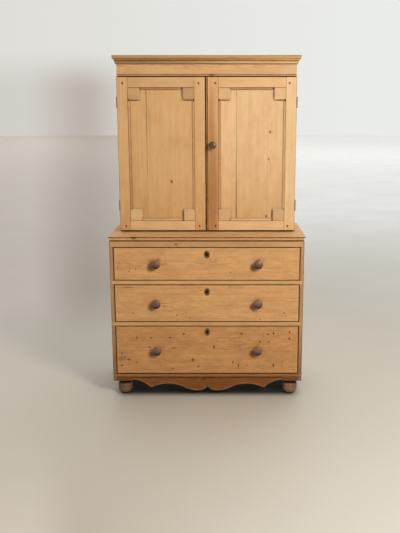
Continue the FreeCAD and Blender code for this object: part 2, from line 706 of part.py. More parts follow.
def panel_slot(door, gap):
    """The panel with its edges in the grooves, as one block that is also the grooves' waste."""
    reach = f"panel_groove + ({gap})"
    return (grown(door.opening, reach), grown(("panel_front", "panel_back"), gap),
            grown(("panel_low", "panel_top"), reach))


def peg_rods(door, kind, radius, start, length):
    """Rods at the four tenons of a door."""
    rods = []
    for number, x in enumerate(door.pegs):
        for name, z in (("top", "door_top - top_peg_down"), ("bottom", "door_low + bottom_peg_up")):
            rods.append(rod(door.name(f"{name}_{kind}_{number}"), radius, (x, start, z), length,
                            BACKWARDS))
    return rods


def tenon_spans(gap="0"):
    """The heights of the through tenons of the top and bottom rail."""
    return {name: grown(span, f"({gap}) - tenon_shoulder")
            for name, span in door_rail_spans().items()}


def door_frame(door, extra_holes):
    """Stiles the full height of the door, with the rails tenoned right through them."""
    deep = ("door_front", "door_back")
    tenon_deep = ("tenon_front", "tenon_front + tenon_thick")
    whole = (door.low, door.high)
    stiles = []
    for kind, span in door.stiles.items():
        if kind == "meeting" and door.side == "right":
            blank = meeting_stile_with_bead(door, span)
        else:
            blank = board(door.name(f"{kind}_stile_blank"), span, deep, ("door_low", "door_top"))
        tools = [board(door.name(f"{kind}_groove"), *panel_slot(door, "panel_gap"))]
        for name, tall in tenon_spans("glue_gap").items():
            tools.append(board(door.name(f"{kind}_{name}_mortise"), grown(whole, "past"),
                               grown(tenon_deep, "glue_gap"), tall))
        tools += peg_rods(door, f"{kind}_peg_hole", "peg_round", "door_front - past",
                          "door_thick + 2 * past")
        if kind == "hinge":
            for hinge in ("upper_hinge", "lower_hinge"):
                bed = hinge_slot(door.name(f"{hinge}_bed"), hinge,
                                 ("door_back - leaf_thick", "door_back"))
                tools.append(bed if door.side == "right" else
                             mirrored(door.name(f"{hinge}_bed_left"), bed))
        else:
            tools += extra_holes
        stiles.append(cut(door.name(f"{kind}_stile"), blank, tools))
    node(door.name("stiles"), together(door.name("stiles"), stiles))
    rails = []
    for name, tall in door_rail_spans().items():
        middle = board(door.name(f"{name}_rail_blank"), door.opening, deep, tall)
        tenon = board(door.name(f"{name}_tenon"), whole, tenon_deep, tenon_spans()[name])
        blank = fused(door.name(f"{name}_rail_tenoned"), [middle, tenon])
        tools = [board(door.name(f"{name}_rail_groove"), *panel_slot(door, "panel_gap"))]
        tools += peg_rods(door, f"{name}_rail_peg_hole", "peg_round", "door_front - past",
                          "door_thick + 2 * past")
        rails.append(cut(door.name(f"{name}_rail"), blank, tools))
    node(door.name("rails"), together(door.name("rails"), rails))
    node(door.name("pegs"), together(door.name("pegs"), peg_rods(
        door, "peg", "peg_round", "door_front - peg_proud", "door_thick + peg_proud")))


def meeting_stile_with_bead(door, span):
    """The right door's meeting stile, with a bead worked along its closing edge."""
    quirk = "right_edge + meeting_bead"
    outline = [
        ("right_edge", "door_back"),
        ("right_edge", "door_front + meeting_bead / 2", "bead_fullness * meeting_bead"),
        (quirk, "door_front + meeting_bead / 2"),
        (f"{quirk} + bead_quirk", "door_front + meeting_bead / 2"),
        (f"{quirk} + bead_quirk", "door_front"),
        (span[1], "door_front"),
        (span[1], "door_back"),
    ]
    return padded(door.name("meeting_stile_blank"), "XY", outline, "door_top - door_low",
                  base_z="door_low")


def door_panel(door):
    """A panel of two boards, held in the grooves of the frame."""
    across, _, tall = panel_slot(door, "-panel_gap")
    deep = ("panel_front", "panel_back")
    node(door.name("panel"), together(door.name("panel"), [
        board(door.name("panel_board_one"), (across[0], door.joint), deep, tall),
        board(door.name("panel_board_two"), (door.joint, across[1]), deep, tall)]))


def corner_block(name, x, z, free_x, free_z):
    """A square block whose two free sides slope back to the panel."""
    def spans(low, free):
        high = f"{low} + block_wide"
        if free > 0:
            return low, high, low, f"{high} - block_slope"
        return low, high, f"{low} + block_slope", high
    back_x, stop_x, front_x, front_stop_x = spans(x, free_x)
    back_z, stop_z, front_z, front_stop_z = spans(z, free_z)
    block = doc.addObject("Part::Wedge", name)
    return bind(block, Ymin="panel_front - block_thick", Ymax="panel_front",
                Xmin=front_x, Xmax=front_stop_x, Zmin=front_z, Zmax=front_stop_z,
                X2min=back_x, X2max=stop_x, Z2min=back_z, Z2max=stop_z)


def door_trim(door):
    """Square blocks in the corners of the panel and chamfered strips between them."""
    left, right = door.opening
    bottom, top = "panel_low", "panel_top"
    blocks = []
    for across, x, toward_x in (("left", left, 1), ("right", f"{right} - block_wide", -1)):
        for upright, z, toward_z in (("lower", bottom, 1), ("upper", f"{top} - block_wide", -1)):
            blocks.append(corner_block(door.name(f"{across}_{upright}_block"), x, z,
                                       toward_x, toward_z))
    node(door.name("corner_blocks"), together(door.name("corner_blocks"), blocks))
    strips = []
    long_span = (f"{bottom} + block_wide", f"{top} - block_wide")
    face, foot = "panel_front", "panel_front - strip_thick"
    for name, edge, sign in (("left", left, "+"), ("right", right, "-")):
        outline = [(edge, face), (edge, foot), (f"{edge} {sign} strip_wide / 3", foot),
                   (f"{edge} {sign} strip_wide", f"{face} - strip_edge"),
                   (f"{edge} {sign} strip_wide", face)]
        strips.append(padded(door.name(f"{name}_strip"), "XY", outline,
                             f"{long_span[1]} - ({long_span[0]})", base_z=long_span[0]))
    middle = f"(({left}) + ({right})) / 2"
    length = f"({right}) - ({left}) - 2 * block_wide"
    for name, edge, sign in (("lower", bottom, "+"), ("upper", top, "-")):
        outline = [(face, edge), (foot, edge), (foot, f"{edge} {sign} strip_wide / 3"),
                   (f"{face} - strip_edge", f"{edge} {sign} strip_wide"),
                   (face, f"{edge} {sign} strip_wide")]
        strips.append(padded(door.name(f"{name}_strip"), "YZ", outline, length, middle=True,
                             base_x=middle))
    node(door.name("beads"), together(door.name("beads"), strips))


def door_hinge_leaves(door):
    """The leaves let into the back of the hinge stile, with the middle knuckle on the pin."""
    leaves = []
    face = ("door_back - leaf_thick", "door_back")
    for name in ("upper_hinge", "lower_hinge"):
        third = "hinge_high / 3"
        tab = (f"{name} + {third} + knuckle_gap", f"{name} + 2 * {third} - knuckle_gap")
        own = door.name(name)
        plate = hinge_slot(f"{own}_plate", name, face)
        link = board(f"{own}_tab", ("half_cupboard", "pin_at"), face, tab)
        knuckle = rod(f"{own}_knuckle", "knuckle_round", ("pin_at", "pin_deep", tab[0]),
                      f"({tab[1]}) - ({tab[0]})")
        bore = rod(f"{own}_bore", "pin_round + pin_clear", ("pin_at", "pin_deep", name),
                   "hinge_high")
        leaf = cut(f"{own}_leaf", fused(f"{own}_leaf_blank", [plate, link, knuckle]), [bore])
        leaves.append(leaf if door.side == "right" else mirrored(f"{own}_leaf_left", leaf))
    node(door.name("hinge_leaves"), together(door.name("hinge_leaves"), leaves))


def turn_knob():
    """The right door's knob, whose iron spindle carries a tongue behind the door."""
    knob = turned("turn_knob_blank", "XY", [
        ("0", "-turn_gap"),
        ("turn_foot_round", "-turn_gap"),
        ("turn_foot_round", "-turn_foot_reach", "turn_foot_roll"),
        ("turn_neck_round", "-turn_neck_reach", "-turn_neck_roll"),
        ("turn_round", "-turn_rim_reach", "turn_rim_roll"),
        ("turn_face_round", "-turn_reach + turn_face_dome",
         level_arc("turn_face_round", "turn_face_dome")),
        ("0", "-turn_reach"),
    ], base_x="turn_at", base_y="door_front", base_z="turn_high")
    socket = rod("spindle_socket", "spindle_round",
                 ("turn_at", "door_front - turn_reach / 2", "turn_high"),
                 "turn_reach / 2 + past", BACKWARDS)
    node("turn_knob", cut("turn_knob", knob, [socket]))
    tongue_face = "door_back + turn_gap"
    spindle = rod("spindle_rod", "spindle_round",
                  ("turn_at", "door_front - turn_reach / 2", "turn_high"),
                  "turn_reach / 2 + door_thick + turn_gap + tongue_thick", BACKWARDS)
    blade = board("tongue_blade", ("turn_at - tongue_wide / 2", "turn_at + tongue_wide / 2"),
                  (tongue_face, f"{tongue_face} + tongue_thick"),
                  ("turn_high - tongue_long", "turn_high"))
    boss = rod("tongue_boss", "tongue_wide / 2", ("turn_at", tongue_face, "turn_high"),
               "tongue_thick", BACKWARDS)
    node("turn_spindle", fused("turn_spindle", [spindle, blade, boss]))


def left_door_bolt():
    """A barrel bolt on the back of the left door that shoots up behind the frieze."""
    low = "bolt_top - bolt_long"
    plate_z = (f"{low} + bolt_plate_up", "bolt_top - bolt_plate_down")
    plate = board("bolt_plate_board", grown(("bolt_at", "bolt_at"), "bolt_plate_wide / 2"),
                  ("door_back", "door_back + bolt_plate_thick"), plate_z)
    parts, bores = [plate], []
    middle = f"({plate_z[0]} + {plate_z[1]}) / 2"
    for name, sign in (("lower", "-"), ("upper", "+")):
        low_z = f"{middle} {sign} staple_apart / 2 - staple_high / 2"
        parts.append(board(f"{name}_staple", grown(("bolt_at", "bolt_at"), "staple_wide / 2"),
                           ("door_back + bolt_plate_thick", "bolt_deep + bolt_round + staple_thick"),
                           (low_z, f"{low_z} + staple_high")))
        bores.append(rod(f"{name}_staple_bore", "bolt_round + bolt_clear",
                         ("bolt_at", "bolt_deep", f"{low_z} - past"), "staple_high + 2 * past"))
    node("left_door_bolt_plate", cut("left_door_bolt_plate",
                                     fused("bolt_plate_blank", parts), bores))
    shaft = rod("bolt_shaft", "bolt_round", ("bolt_at", "bolt_deep", low), "bolt_long")
    thumb = rod("bolt_thumb", "thumb_round", ("bolt_at", "bolt_deep", middle), "thumb_reach",
                BACKWARDS)
    node("left_door_bolt", fused("left_door_bolt", [shaft, thumb]))


def doors():
    """Both doors of the cupboard."""
    spindle_hole = rod("spindle_hole", "spindle_round + turn_clear",
                       ("turn_at", "door_front - past", "turn_high"), "door_thick + 2 * past",
                       BACKWARDS)
    for side, holes in (("left", []), ("right", [spindle_hole])):
        door = Door(side)
        door_frame(door, holes)
        door_panel(door)
        door_trim(door)
        door_hinge_leaves(door)
    left_door_bolt()
    turn_knob()


# ---------------------------------------------------------------- the drawers


def tails(name, low, high, wide_end, bottom, top):
    """A row of dovetails on one end of the right-hand side, as many as its height takes."""
    count = max(2, int((worth(top) - worth(bottom)) / worth("tail_pitch")))
    pitch = f"(({top}) - ({bottom})) / {count}"
    near, far = "tail_wide / 2", "tail_wide / 2 - tail_flare"
    if wide_end == "back":
        near, far = far, near
    row = []
    for number in range(count):
        middle = f"({bottom}) + {number + 0.5} * {pitch}"
        row.append(bind(
            doc.addObject("Part::Wedge", f"{name}_{number}"), Ymin=low, Ymax=high,
            Xmin="drawer_inner", Xmax="drawer_half", X2min="drawer_inner", X2max="drawer_half",
            Zmin=f"{middle} - ({near})", Zmax=f"{middle} + ({near})",
            Z2min=f"{middle} - ({far})", Z2max=f"{middle} + ({far})"))
    return row


def drawer(name, floor, ceiling, key_down):
    """A dovetailed drawer with two knobs, an escutcheon and a lock."""
    own = f"{name}_drawer"
    low, high = f"{floor} + drawer_gap", f"{ceiling} - drawer_gap"
    side_top = f"{high} - drawer_side_drop"
    back_low = f"{floor} + bottom_up + bottom_thick"
    back_top = f"{side_top} - drawer_back_drop"
    whole = ("-drawer_half", "drawer_half")
    key_high = f"{high} - {key_down}"
    knob_high = f"({low} + {high}) / 2"

    def bottom_board(part):
        return board(f"{own}_{part}",
                     ("-drawer_inner - bottom_groove", "drawer_inner + bottom_groove"),
                     ("front_back - bottom_groove", "drawer_end"),
                     (f"{floor} + bottom_up", f"{floor} + bottom_up + bottom_thick"))

    def front_tails(part):
        return tails(f"{own}_{part}_front_tail", "front + lap", "front_back", "front",
                     low, side_top)

    def back_tails(part):
        return tails(f"{own}_{part}_back_tail", "drawer_back_face", "drawer_end", "back",
                     back_low, back_top)

    # the front, with sockets for the tails, holes for knobs and key, and a bed for the lock
    sockets = fused(f"{own}_front_sockets", front_tails("socket"))
    other = mirrored(f"{own}_front_sockets_twin", sockets)
    knob_hole = rod(f"{own}_knob_hole", "knob_pin_round", ("knob_at", "front - past", knob_high),
                    "front_thick + 2 * past", BACKWARDS)
    lock_low, lock_top = f"{key_high} - lock_below_key", high
    lock_bed = board(f"{own}_lock_bed", ("-lock_half_wide", "lock_half_wide"),
                     ("lock_front", "front_back"), (lock_low, lock_top))
    plate_bed = oval(f"{own}_plate_bed", key_high, "plate_half_wide", "plate_half_high",
                     "plate_thick - plate_proud", "front")
    keyhole = key_shape(f"{own}_keyhole", key_high, "front - past",
                        "front_thick - lock_thick + 2 * past")
    blank = board(f"{own}_front_board", whole, ("front", "front_back"), (low, high))
    node(f"{own}_front", cut(f"{own}_front", blank, [
        sockets, other, bottom_board("front_groove"), knob_hole,
        mirrored(f"{own}_knob_hole_twin", knob_hole), lock_bed, plate_bed, keyhole]))

    # two sides with tails at both ends, and the back between them
    side = board(f"{own}_side_board", ("drawer_inner", "drawer_half"),
                 ("front_back", "drawer_back_face"), (floor, side_top))
    tailed = fused(f"{own}_side_tailed", [side] + front_tails("side") + back_tails("side"))
    right = cut(f"{own}_side", tailed, [bottom_board("side_groove")])
    back_sockets = fused(f"{own}_back_sockets", back_tails("socket"))
    back_board = board(f"{own}_back_board", whole, ("drawer_back_face", "drawer_end"),
                       (back_low, back_top))
    back = cut(f"{own}_back", back_board,
               [back_sockets, mirrored(f"{own}_back_sockets_twin", back_sockets)])
    node(f"{own}_sides_and_back", together(
        f"{own}_sides_and_back", [right, mirrored(f"{own}_side_twin", right), back]))
    node(f"{own}_bottom", bottom_board("bottom"))

    # knobs, escutcheon, lock and bolt
    knob = drawer_knob(f"{own}_knob", knob_high)
    node(f"{own}_knobs", both_sides(f"{own}_knobs", knob))
    plate = oval(f"{own}_plate", key_high, "plate_half_wide", "plate_half_high", "plate_thick",
                 "front - plate_proud")
    hole = key_shape(f"{own}_plate_hole", key_high, "front - plate_proud - past",
                     "plate_thick + 2 * past")
    node(f"{own}_escutcheon", cut(f"{own}_escutcheon", plate, [hole]))
    lock(own, key_high, lock_low, lock_top)


def oval(name, height, half_wide, half_high, thick, start):
    """An upright oval plate on the front of a drawer."""
    ring = doc.addObject("Part::Ellipse", name + "_rim")
    ring.Placement = FreeCAD.Placement(FreeCAD.Vector(), FreeCAD.Rotation(
        FreeCAD.Vector(0, 0, 1), FreeCAD.Vector(1, 0, 0), FreeCAD.Vector(0, 1, 0), "ZXY"))
    bind(ring, MajorRadius=half_high, MinorRadius=half_wide, base_y=start, base_z=height)
    plate = doc.addObject("Part::Extrusion", name)
    plate.Base = ring
    plate.DirMode = "Custom"
    plate.Dir = FreeCAD.Vector(0, 1, 0)
    plate.Solid = True
    return bind(plate, LengthFwd=thick)


def key_shape(name, height, start, length):
    """A keyhole: a round eye with a slot below it."""
    eye = rod(name + "_eye", "keyhole_round", ("0", start, height), length, BACKWARDS)
    slot = board(name + "_slot", ("-keyhole_wide / 2", "keyhole_wide / 2"),
                 (start, f"{start} + {length}"), (f"{height} - keyhole_long", height))
    return fused(name, [eye, slot])


def drawer_knob(name, height):
    """A turned mushroom knob with its pin glued through the drawer front."""
    return turned(name, "XY", [
        ("0", "front_thick"),
        ("knob_pin_round", "front_thick"),
        ("knob_pin_round", "0"),
        ("knob_foot_round", "0"),
        ("knob_foot_round", "-knob_foot_reach", "knob_foot_roll"),
        ("knob_neck_round", "-knob_neck_reach", "-knob_neck_roll"),
        ("knob_round", "-knob_rim_reach", "knob_rim_roll"),
        ("knob_face_round", "-knob_reach + knob_face_dome",
         level_arc("knob_face_round", "knob_face_dome")),
        ("0", "-knob_reach"),
    ], base_x="knob_at", base_y="front", base_z=height)


def lock(own, key_high, lock_low, lock_top):
    """A lock let into the back of the front, and the bolt that slides up out of it."""
    middle = "(lock_front + front_back) / 2"
    half, thick = "lock_bolt_half_wide", "lock_bolt_thick / 2"
    bolt_top = f"{lock_top} - lock_bolt_down"
    bolt_low = f"{bolt_top} - lock_bolt_high"
    case = board(f"{own}_lock_case", ("-lock_half_wide", "lock_half_wide"),
                 ("lock_front", "front_back"), (lock_low, lock_top))
    clear = "lock_bolt_clear"
    channel = board(f"{own}_bolt_channel", (f"-{half} - {clear}", f"{half} + {clear}"),
                    (f"{middle} - {thick} - {clear}", f"{middle} + {thick} + {clear}"),
                    (f"{bolt_low} - {clear}", f"{lock_top} + past"))
    keyway = key_shape(f"{own}_keyway", key_high, "lock_front - past", "lock_wall + past")
    node(f"{own}_lock", cut(f"{own}_lock", case, [channel, keyway]))
    node(f"{own}_lock_bolt", board(f"{own}_lock_bolt", (f"-{half}", half),
                                   (f"{middle} - {thick}", f"{middle} + {thick}"),
                                   (bolt_low, bolt_top)))


# ---------------------------------------------------------------- the whole press

chest_sides()
drawer_rails()
chest_boards()
chest_top()
tongued_boards("chest_back_boards", 4, "z", ("foot_high", "case_top"),
               "-inner_chest - back_rebate", "inner_chest + back_rebate")
runners()
feet()
apron()
cupboard_sides()
cupboard_boards()
tongued_boards("cupboard_back_boards", 5, "x",
               ("-inner_cupboard - back_rebate", "inner_cupboard + back_rebate"),
               "deck", "cupboard_top")
frieze()
cornice()
hinges()
doors()
for drawer_name, drawer_places in DRAWERS.items():
    drawer(drawer_name, *drawer_places)
doc.recompute()

faults = [thing.Label for thing in doc.Objects
          if "Invalid" in thing.State or "Error" in thing.State]
for piece in NODES:
    if piece.Shape.isNull() or not piece.Shape.isValid() or not piece.Shape.Solids:
        faults.append(piece.Label)
if faults:
    raise RuntimeError("these features failed: " + ", ".join(faults))

os.makedirs("parts", exist_ok=True)
for piece in NODES:
    piece.Shape.exportStep(f"parts/{piece.Label}.step")
print(len(NODES), "nodes,", sum(len(piece.Shape.Solids) for piece in NODES), "solids")
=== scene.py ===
from math import radians, sin, tau

import bmesh
import bpy
from bpy.props import FloatProperty, FloatVectorProperty, PointerProperty
from mathutils import Matrix, Vector


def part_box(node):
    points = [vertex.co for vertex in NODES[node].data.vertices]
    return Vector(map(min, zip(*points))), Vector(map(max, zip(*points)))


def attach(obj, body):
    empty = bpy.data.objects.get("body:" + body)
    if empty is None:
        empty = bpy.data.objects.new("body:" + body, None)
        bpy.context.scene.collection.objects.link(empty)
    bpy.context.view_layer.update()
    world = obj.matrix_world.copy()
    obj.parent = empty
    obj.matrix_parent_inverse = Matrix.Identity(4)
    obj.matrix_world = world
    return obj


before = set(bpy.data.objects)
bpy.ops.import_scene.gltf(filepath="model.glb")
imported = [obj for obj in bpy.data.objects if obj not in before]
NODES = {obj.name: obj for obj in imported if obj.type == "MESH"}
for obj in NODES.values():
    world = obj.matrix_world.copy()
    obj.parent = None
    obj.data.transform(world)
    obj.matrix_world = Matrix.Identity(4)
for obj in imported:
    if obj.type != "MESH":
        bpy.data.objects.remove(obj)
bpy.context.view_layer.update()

MM = 0.001
AXIS = {"x": 0, "y": 1, "z": 2}
DRAWERS = ("top", "middle", "bottom")
FORWARD, BACKWARD = (0, -1, 0), (0, 1, 0)
# a cut nail's head: how thick its block is, how far its facets rise, and how far it stands up
NAIL_BLOCK, NAIL_RISE = 0.0012, 0.0006
NAIL_HIGH = NAIL_BLOCK / 2 + NAIL_RISE

bl_info = {
    "name": "Linen Press",
    "version": (1, 0, 0),
    "blender": (4, 5, 0),
    "location": "View3D > Sidebar > Linen Press",
    "description": "Finishes a pine linen press: its boards, knobs, feet, brass, iron and stage",
    "category": "Object",
}


def linear(colour):
    """An sRGB hex colour as linear red, green, blue and alpha."""
    parts = [int(colour[at:at + 2], 16) / 255 for at in (1, 3, 5)]
    return [p / 12.92 if p <= 0.04045 else ((p + 0.055) / 1.055) ** 2.4 for p in parts] + [1.0]


def paint(name, words, colour):
    return FloatVectorProperty(name=name, description=words, subtype="COLOR", size=4, min=0, max=1,
                               default=linear(colour))


def spring(where, colour):
    return paint(f"Spring wood, {where}", "Pale part of each ring", colour)


def summer(where, colour):
    return paint(f"Summer wood, {where}", "Dark line of each ring", colour)


def amount(name, words, default, unit="NONE", precision=2):
    return FloatProperty(name=name, description=words, unit=unit, precision=precision, min=0,
                         default=default)


def measure(name, words, metres):
    return amount(name, words, metres, "LENGTH", 4)


class PineLook(bpy.types.PropertyGroup):
    """Colours and growth of the pine."""
    waxed_early: spring("under old wax", "#DCAF78")
    waxed_late: summer("under old wax", "#B57F48")
    pale_early: spring("right door", "#E8C08F")
    pale_late: summer("right door", "#C18F5A")
    drawer_early: spring("drawers", "#DAA56B")
    drawer_late: summer("drawers", "#B37840")
    # the bottom drawer's colours are darker as painted shade, the light falling off towards the
    # floor
    low_shaded_early: spring("bottom drawer", "#CD985C")
    low_shaded_late: summer("bottom drawer", "#A86E36")
    bare_early: spring("unfinished", "#CFAE84")
    bare_late: summer("unfinished", "#A67C4F")
    stained_early: spring("apron", "#824A13")
    stained_late: summer("apron", "#61320A")
    # grime colour: old wax and dirt in corners, laid there together with painted shade
    grime: paint("Grime", "Old wax and dirt held in corners", "#4C2708")
    # seam colour: dirt packed along the joints, and painted shadow lines under overhangs and beside
    # the corner blocks
    seam: paint("Seam dirt", "Dark brown dirt packed along the joints", "#623002")
    # rubbed colour: pale worn arrises, drawn also as a painted highlight along the edges
    rubbed_and_highlit: paint("Rubbed wood", "Pale wood of the worn arrises", "#F2D3A2")
    ring_wide: measure("Ring width", "Growth of the tree in a year", 0.0042)
    edge_round: measure("Edge rounding", "How far the arrises are worn round", 0.0009)


class TurneryLook(bpy.types.PropertyGroup):
    """Colours of the turned knobs and feet."""
    knob_early: spring("drawer knobs", "#8E6040")
    knob_late: summer("drawer knobs", "#54321A")
    door_early: spring("door knob", "#6E492D")
    door_late: summer("door knob", "#3D2213")
    foot_early: spring("feet", "#A58363")
    foot_late: summer("feet", "#6B4C33")


class MetalLook(bpy.types.PropertyGroup):
    """Colours and sizes of the ironwork and brasswork."""
    iron: paint("Iron", "Dark worked iron", "#5A524B")
    rust: paint("Rust", "Old rust on the iron", "#5B3722")
    brass: paint("Brass", "Rubbed brass", "#A58558")
    tarnish: paint("Tarnish", "Brown tarnish on the brass", "#5C4326")
    crust: paint("Crust", "Black-brown crust round the keyholes", "#1C110A")
    screw_wide: measure("Screw head", "Diameter of the hinge screws", 0.0072)
    pin_wide: measure("Pin head", "Diameter of the escutcheon pins", 0.0026)
    nail_long: measure("Nail head", "Length of a cut nail's head", 0.0068)


class StageLook(bpy.types.PropertyGroup):
    """Floor, light and air round the press."""
    floor: paint("Floor", "Plain pale floor", "#C6BFB4")
    # the far floor carries painted light at the right and painted shade at the left
    floor_far: paint("Far floor", "The floor away from the press, right", "#FFFFFF")
    floor_left: paint("Far floor, left", "The floor away from the press, left", "#A89689")
    floor_edge: paint("Far floor, edge", "The floor at the far left", "#D8CDC5")
    # painted shadow under the press
    shadow_under_press: paint("Dust", "The floor under the press", "#332B25")
    air: paint("Air at the right", "Even light from the right", "#F4F6F2")
    air_left: paint("Air at the left", "Even light from the left", "#E5E3DE")
    air_low: paint("Low air at the left", "Shaded wall at the left", "#AA9689")
    air_behind: amount("Air behind", "Strength of the air behind the press", 0.93)
    air_above: amount("Air above", "Strength added by the ceiling overhead", 0.5)
    air_front: amount("Air in front", "Strength of the air before the press", 0.09)
    air_low_front: amount("Low air in front", "Strength added at the horizon", 0.4)
    key_power: amount("Key light", "Power of the light at the upper right", 92.0, "POWER")
    back_power: amount("Back light", "Power of the light over the far floor", 5200.0, "POWER")
    fill_power: amount("Fill light", "Power of the light at the left", 16.0, "POWER")


def pine_look():
    return bpy.context.scene.press_pine


def box_mm(node):
    """The low and high corners of a CAD node, in mm."""
    return [corner * 1000 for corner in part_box(node)]


def middle_mm(node):
    """The middle of a CAD node, in mm."""
    low, high = box_mm(node)
    return (low + high) / 2


# ------------------------------------------------------------------ materials

# the one node tree that is growing now
GROWING = []


def set_all(thing, settings):
    for name, value in settings.items():
        setattr(thing, name, value)


def add(kind, inputs=None, stops=None, **settings):
    """Adds a node; an input that is a socket is linked, any other is set. Stops fill a ramp."""
    tree = GROWING[0]
    made = tree.nodes.new("ShaderNode" + kind)
    set_all(made, settings)
    for name, value in (inputs or {}).items():
        socket = made.inputs[name]
        if isinstance(value, bpy.types.NodeSocket):
            tree.links.new(value, socket)
        else:
            socket.default_value = value
    if stops:
        ramp = made.color_ramp.elements
        while len(ramp) < len(stops):
            ramp.new(0.5)
        for element, (place, grey) in zip(ramp, stops):
            element.position = place
            element.color = (grey, grey, grey, 1)
    return made


def maths(operation, *values):
    """The result of one sum on numbers or sockets."""
    return add("Math", dict(enumerate(values)), operation=operation).outputs[0]


def times(first, *others):
    """The product of numbers or sockets."""
    for other in others:
        first = maths("MULTIPLY", first, other)
    return first


def rise(value, slope, start):
    """A start plus a slope times a value."""
    return maths("MULTIPLY_ADD", value, slope, start)


def most(first, second):
    return maths("MAXIMUM", first, second)


def less(first, second):
    return maths("SUBTRACT", first, second)


def vector(operation, *values):
    """The result of one sum on vectors."""
    return add("VectorMath", dict(enumerate(values)), operation=operation).outputs[0]


def length(place):
    return add("VectorMath", {0: place}, operation="LENGTH").outputs["Value"]


def split(place):
    """The three parts of a vector."""
    return add("SeparateXYZ", {0: place}).outputs


def in_mm():
    """Object places in millimetres."""
    return vector("MULTIPLY", add("TexCoord").outputs["Object"], (1000, 1000, 1000))


def blend(share, first, second, way="MIX"):
    """One colour laid over another by a share, or darkened by it."""
    made = add("Mix", {0: share, 6: first, 7: second}, data_type="RGBA", blend_type=way)
    return made.outputs[2]


def darken(share, colour, shade):
    """A colour multiplied by a shade, by a share."""
    return blend(share, colour, shade, "MULTIPLY")


def swell(value, low, high, low_to=0.0, high_to=1.0):
    """A smooth rise from one value to another between two places."""
    made = add("MapRange", {0: value, 1: low, 2: high, 3: low_to, 4: high_to},
               interpolation_type="SMOOTHSTEP")
    return made.outputs[0]


def noise(place, patch, detail=2.0, shift=0.0):
    """Grain noise from 0 to 1, in patches of a size in mm along each axis."""
    stretched = vector("MULTIPLY_ADD", place, [1 / size for size in patch],
                       (shift, shift * 1.7, shift * 2.3))
    return add("TexNoise", {"Vector": stretched, "Scale": 1.0, "Detail": detail,
                            "Roughness": 0.55}).outputs["Fac"]


def arrises(distance):
    """How near a place is to a projecting edge."""
    inner = add("AmbientOcclusion", {"Distance": distance}, samples=4, inside=True,
                only_local=True).outputs["AO"]
    return swell(inner, 0.92, 0.6)


def surface(colour, roughness, height, **constants):
    """The shader and output; heights are in mm, and numbers that don't vary sit on its sockets."""
    bump = add("Bump", {"Height": height, "Distance": MM, "Strength": 1.0})
    inputs = {"Base Color": colour, "Roughness": roughness, "Normal": bump.outputs[0]}
    inputs.update({name.replace("_", " "): value for name, value in constants.items()})
    shader = add("BsdfPrincipled", inputs)
    add("OutputMaterial", {"Surface": shader.outputs[0]})


def begin(owner):
    """Clears the nodes of a material or a world, and makes its tree the one that grows."""
    owner.use_nodes = True
    owner.node_tree.nodes.clear()
    GROWING[:] = [owner.node_tree]
    return owner


def lay(axes, order):
    """Object places turned so that X runs along the grain, Y across it and Z into the board."""
    return add("CombineXYZ", {at: axes[AXIS[letter]] for at, letter in enumerate(order)}).outputs[0]


def spots(place, marks, soft=0.5, rim=1.0):
    """How far a place is inside any of the marks: (along, across, length, width) in mm."""
    found = 0.0
    for along, across, long, wide in marks:
        away = vector("SUBTRACT", place, (along, across, 0))
        near = vector("MULTIPLY", away, (1 / long, 1 / wide, 0))
        found = most(found, swell(length(near), rim, soft))
    return found


def dirt_and_shade_round(low, high, *wide, inset=0):
    """Dark lines along a rectangle's sides: left, right, low and high, by half width; dirt in the
    joints, and painted shadow where a side is drawn wider.
    """
    sides = (("x", low.x + inset), ("x", high.x - inset), ("z", low.z + inset),
             ("z", high.z - inset))
    return [(letter, at, half) for (letter, at), half in zip(sides, wide)]


class Wood:
    """One kind of wood surface: colours, gloss and how strongly each trait shows."""
    name = "waxed_pine"
    rough, coat, contrast, grime, wear, reach = 0.42, 0.12, 1.0, 0.75, 0.55, 0.004
    ring, blotch, mottle, flecks, specks, sawn = 1.0, 0.16, 0.1, 0.22, 0.0, 0.0

    def __init__(self, early, late, **traits):
        self.early, self.late = early, late
        vars(self).update(traits)


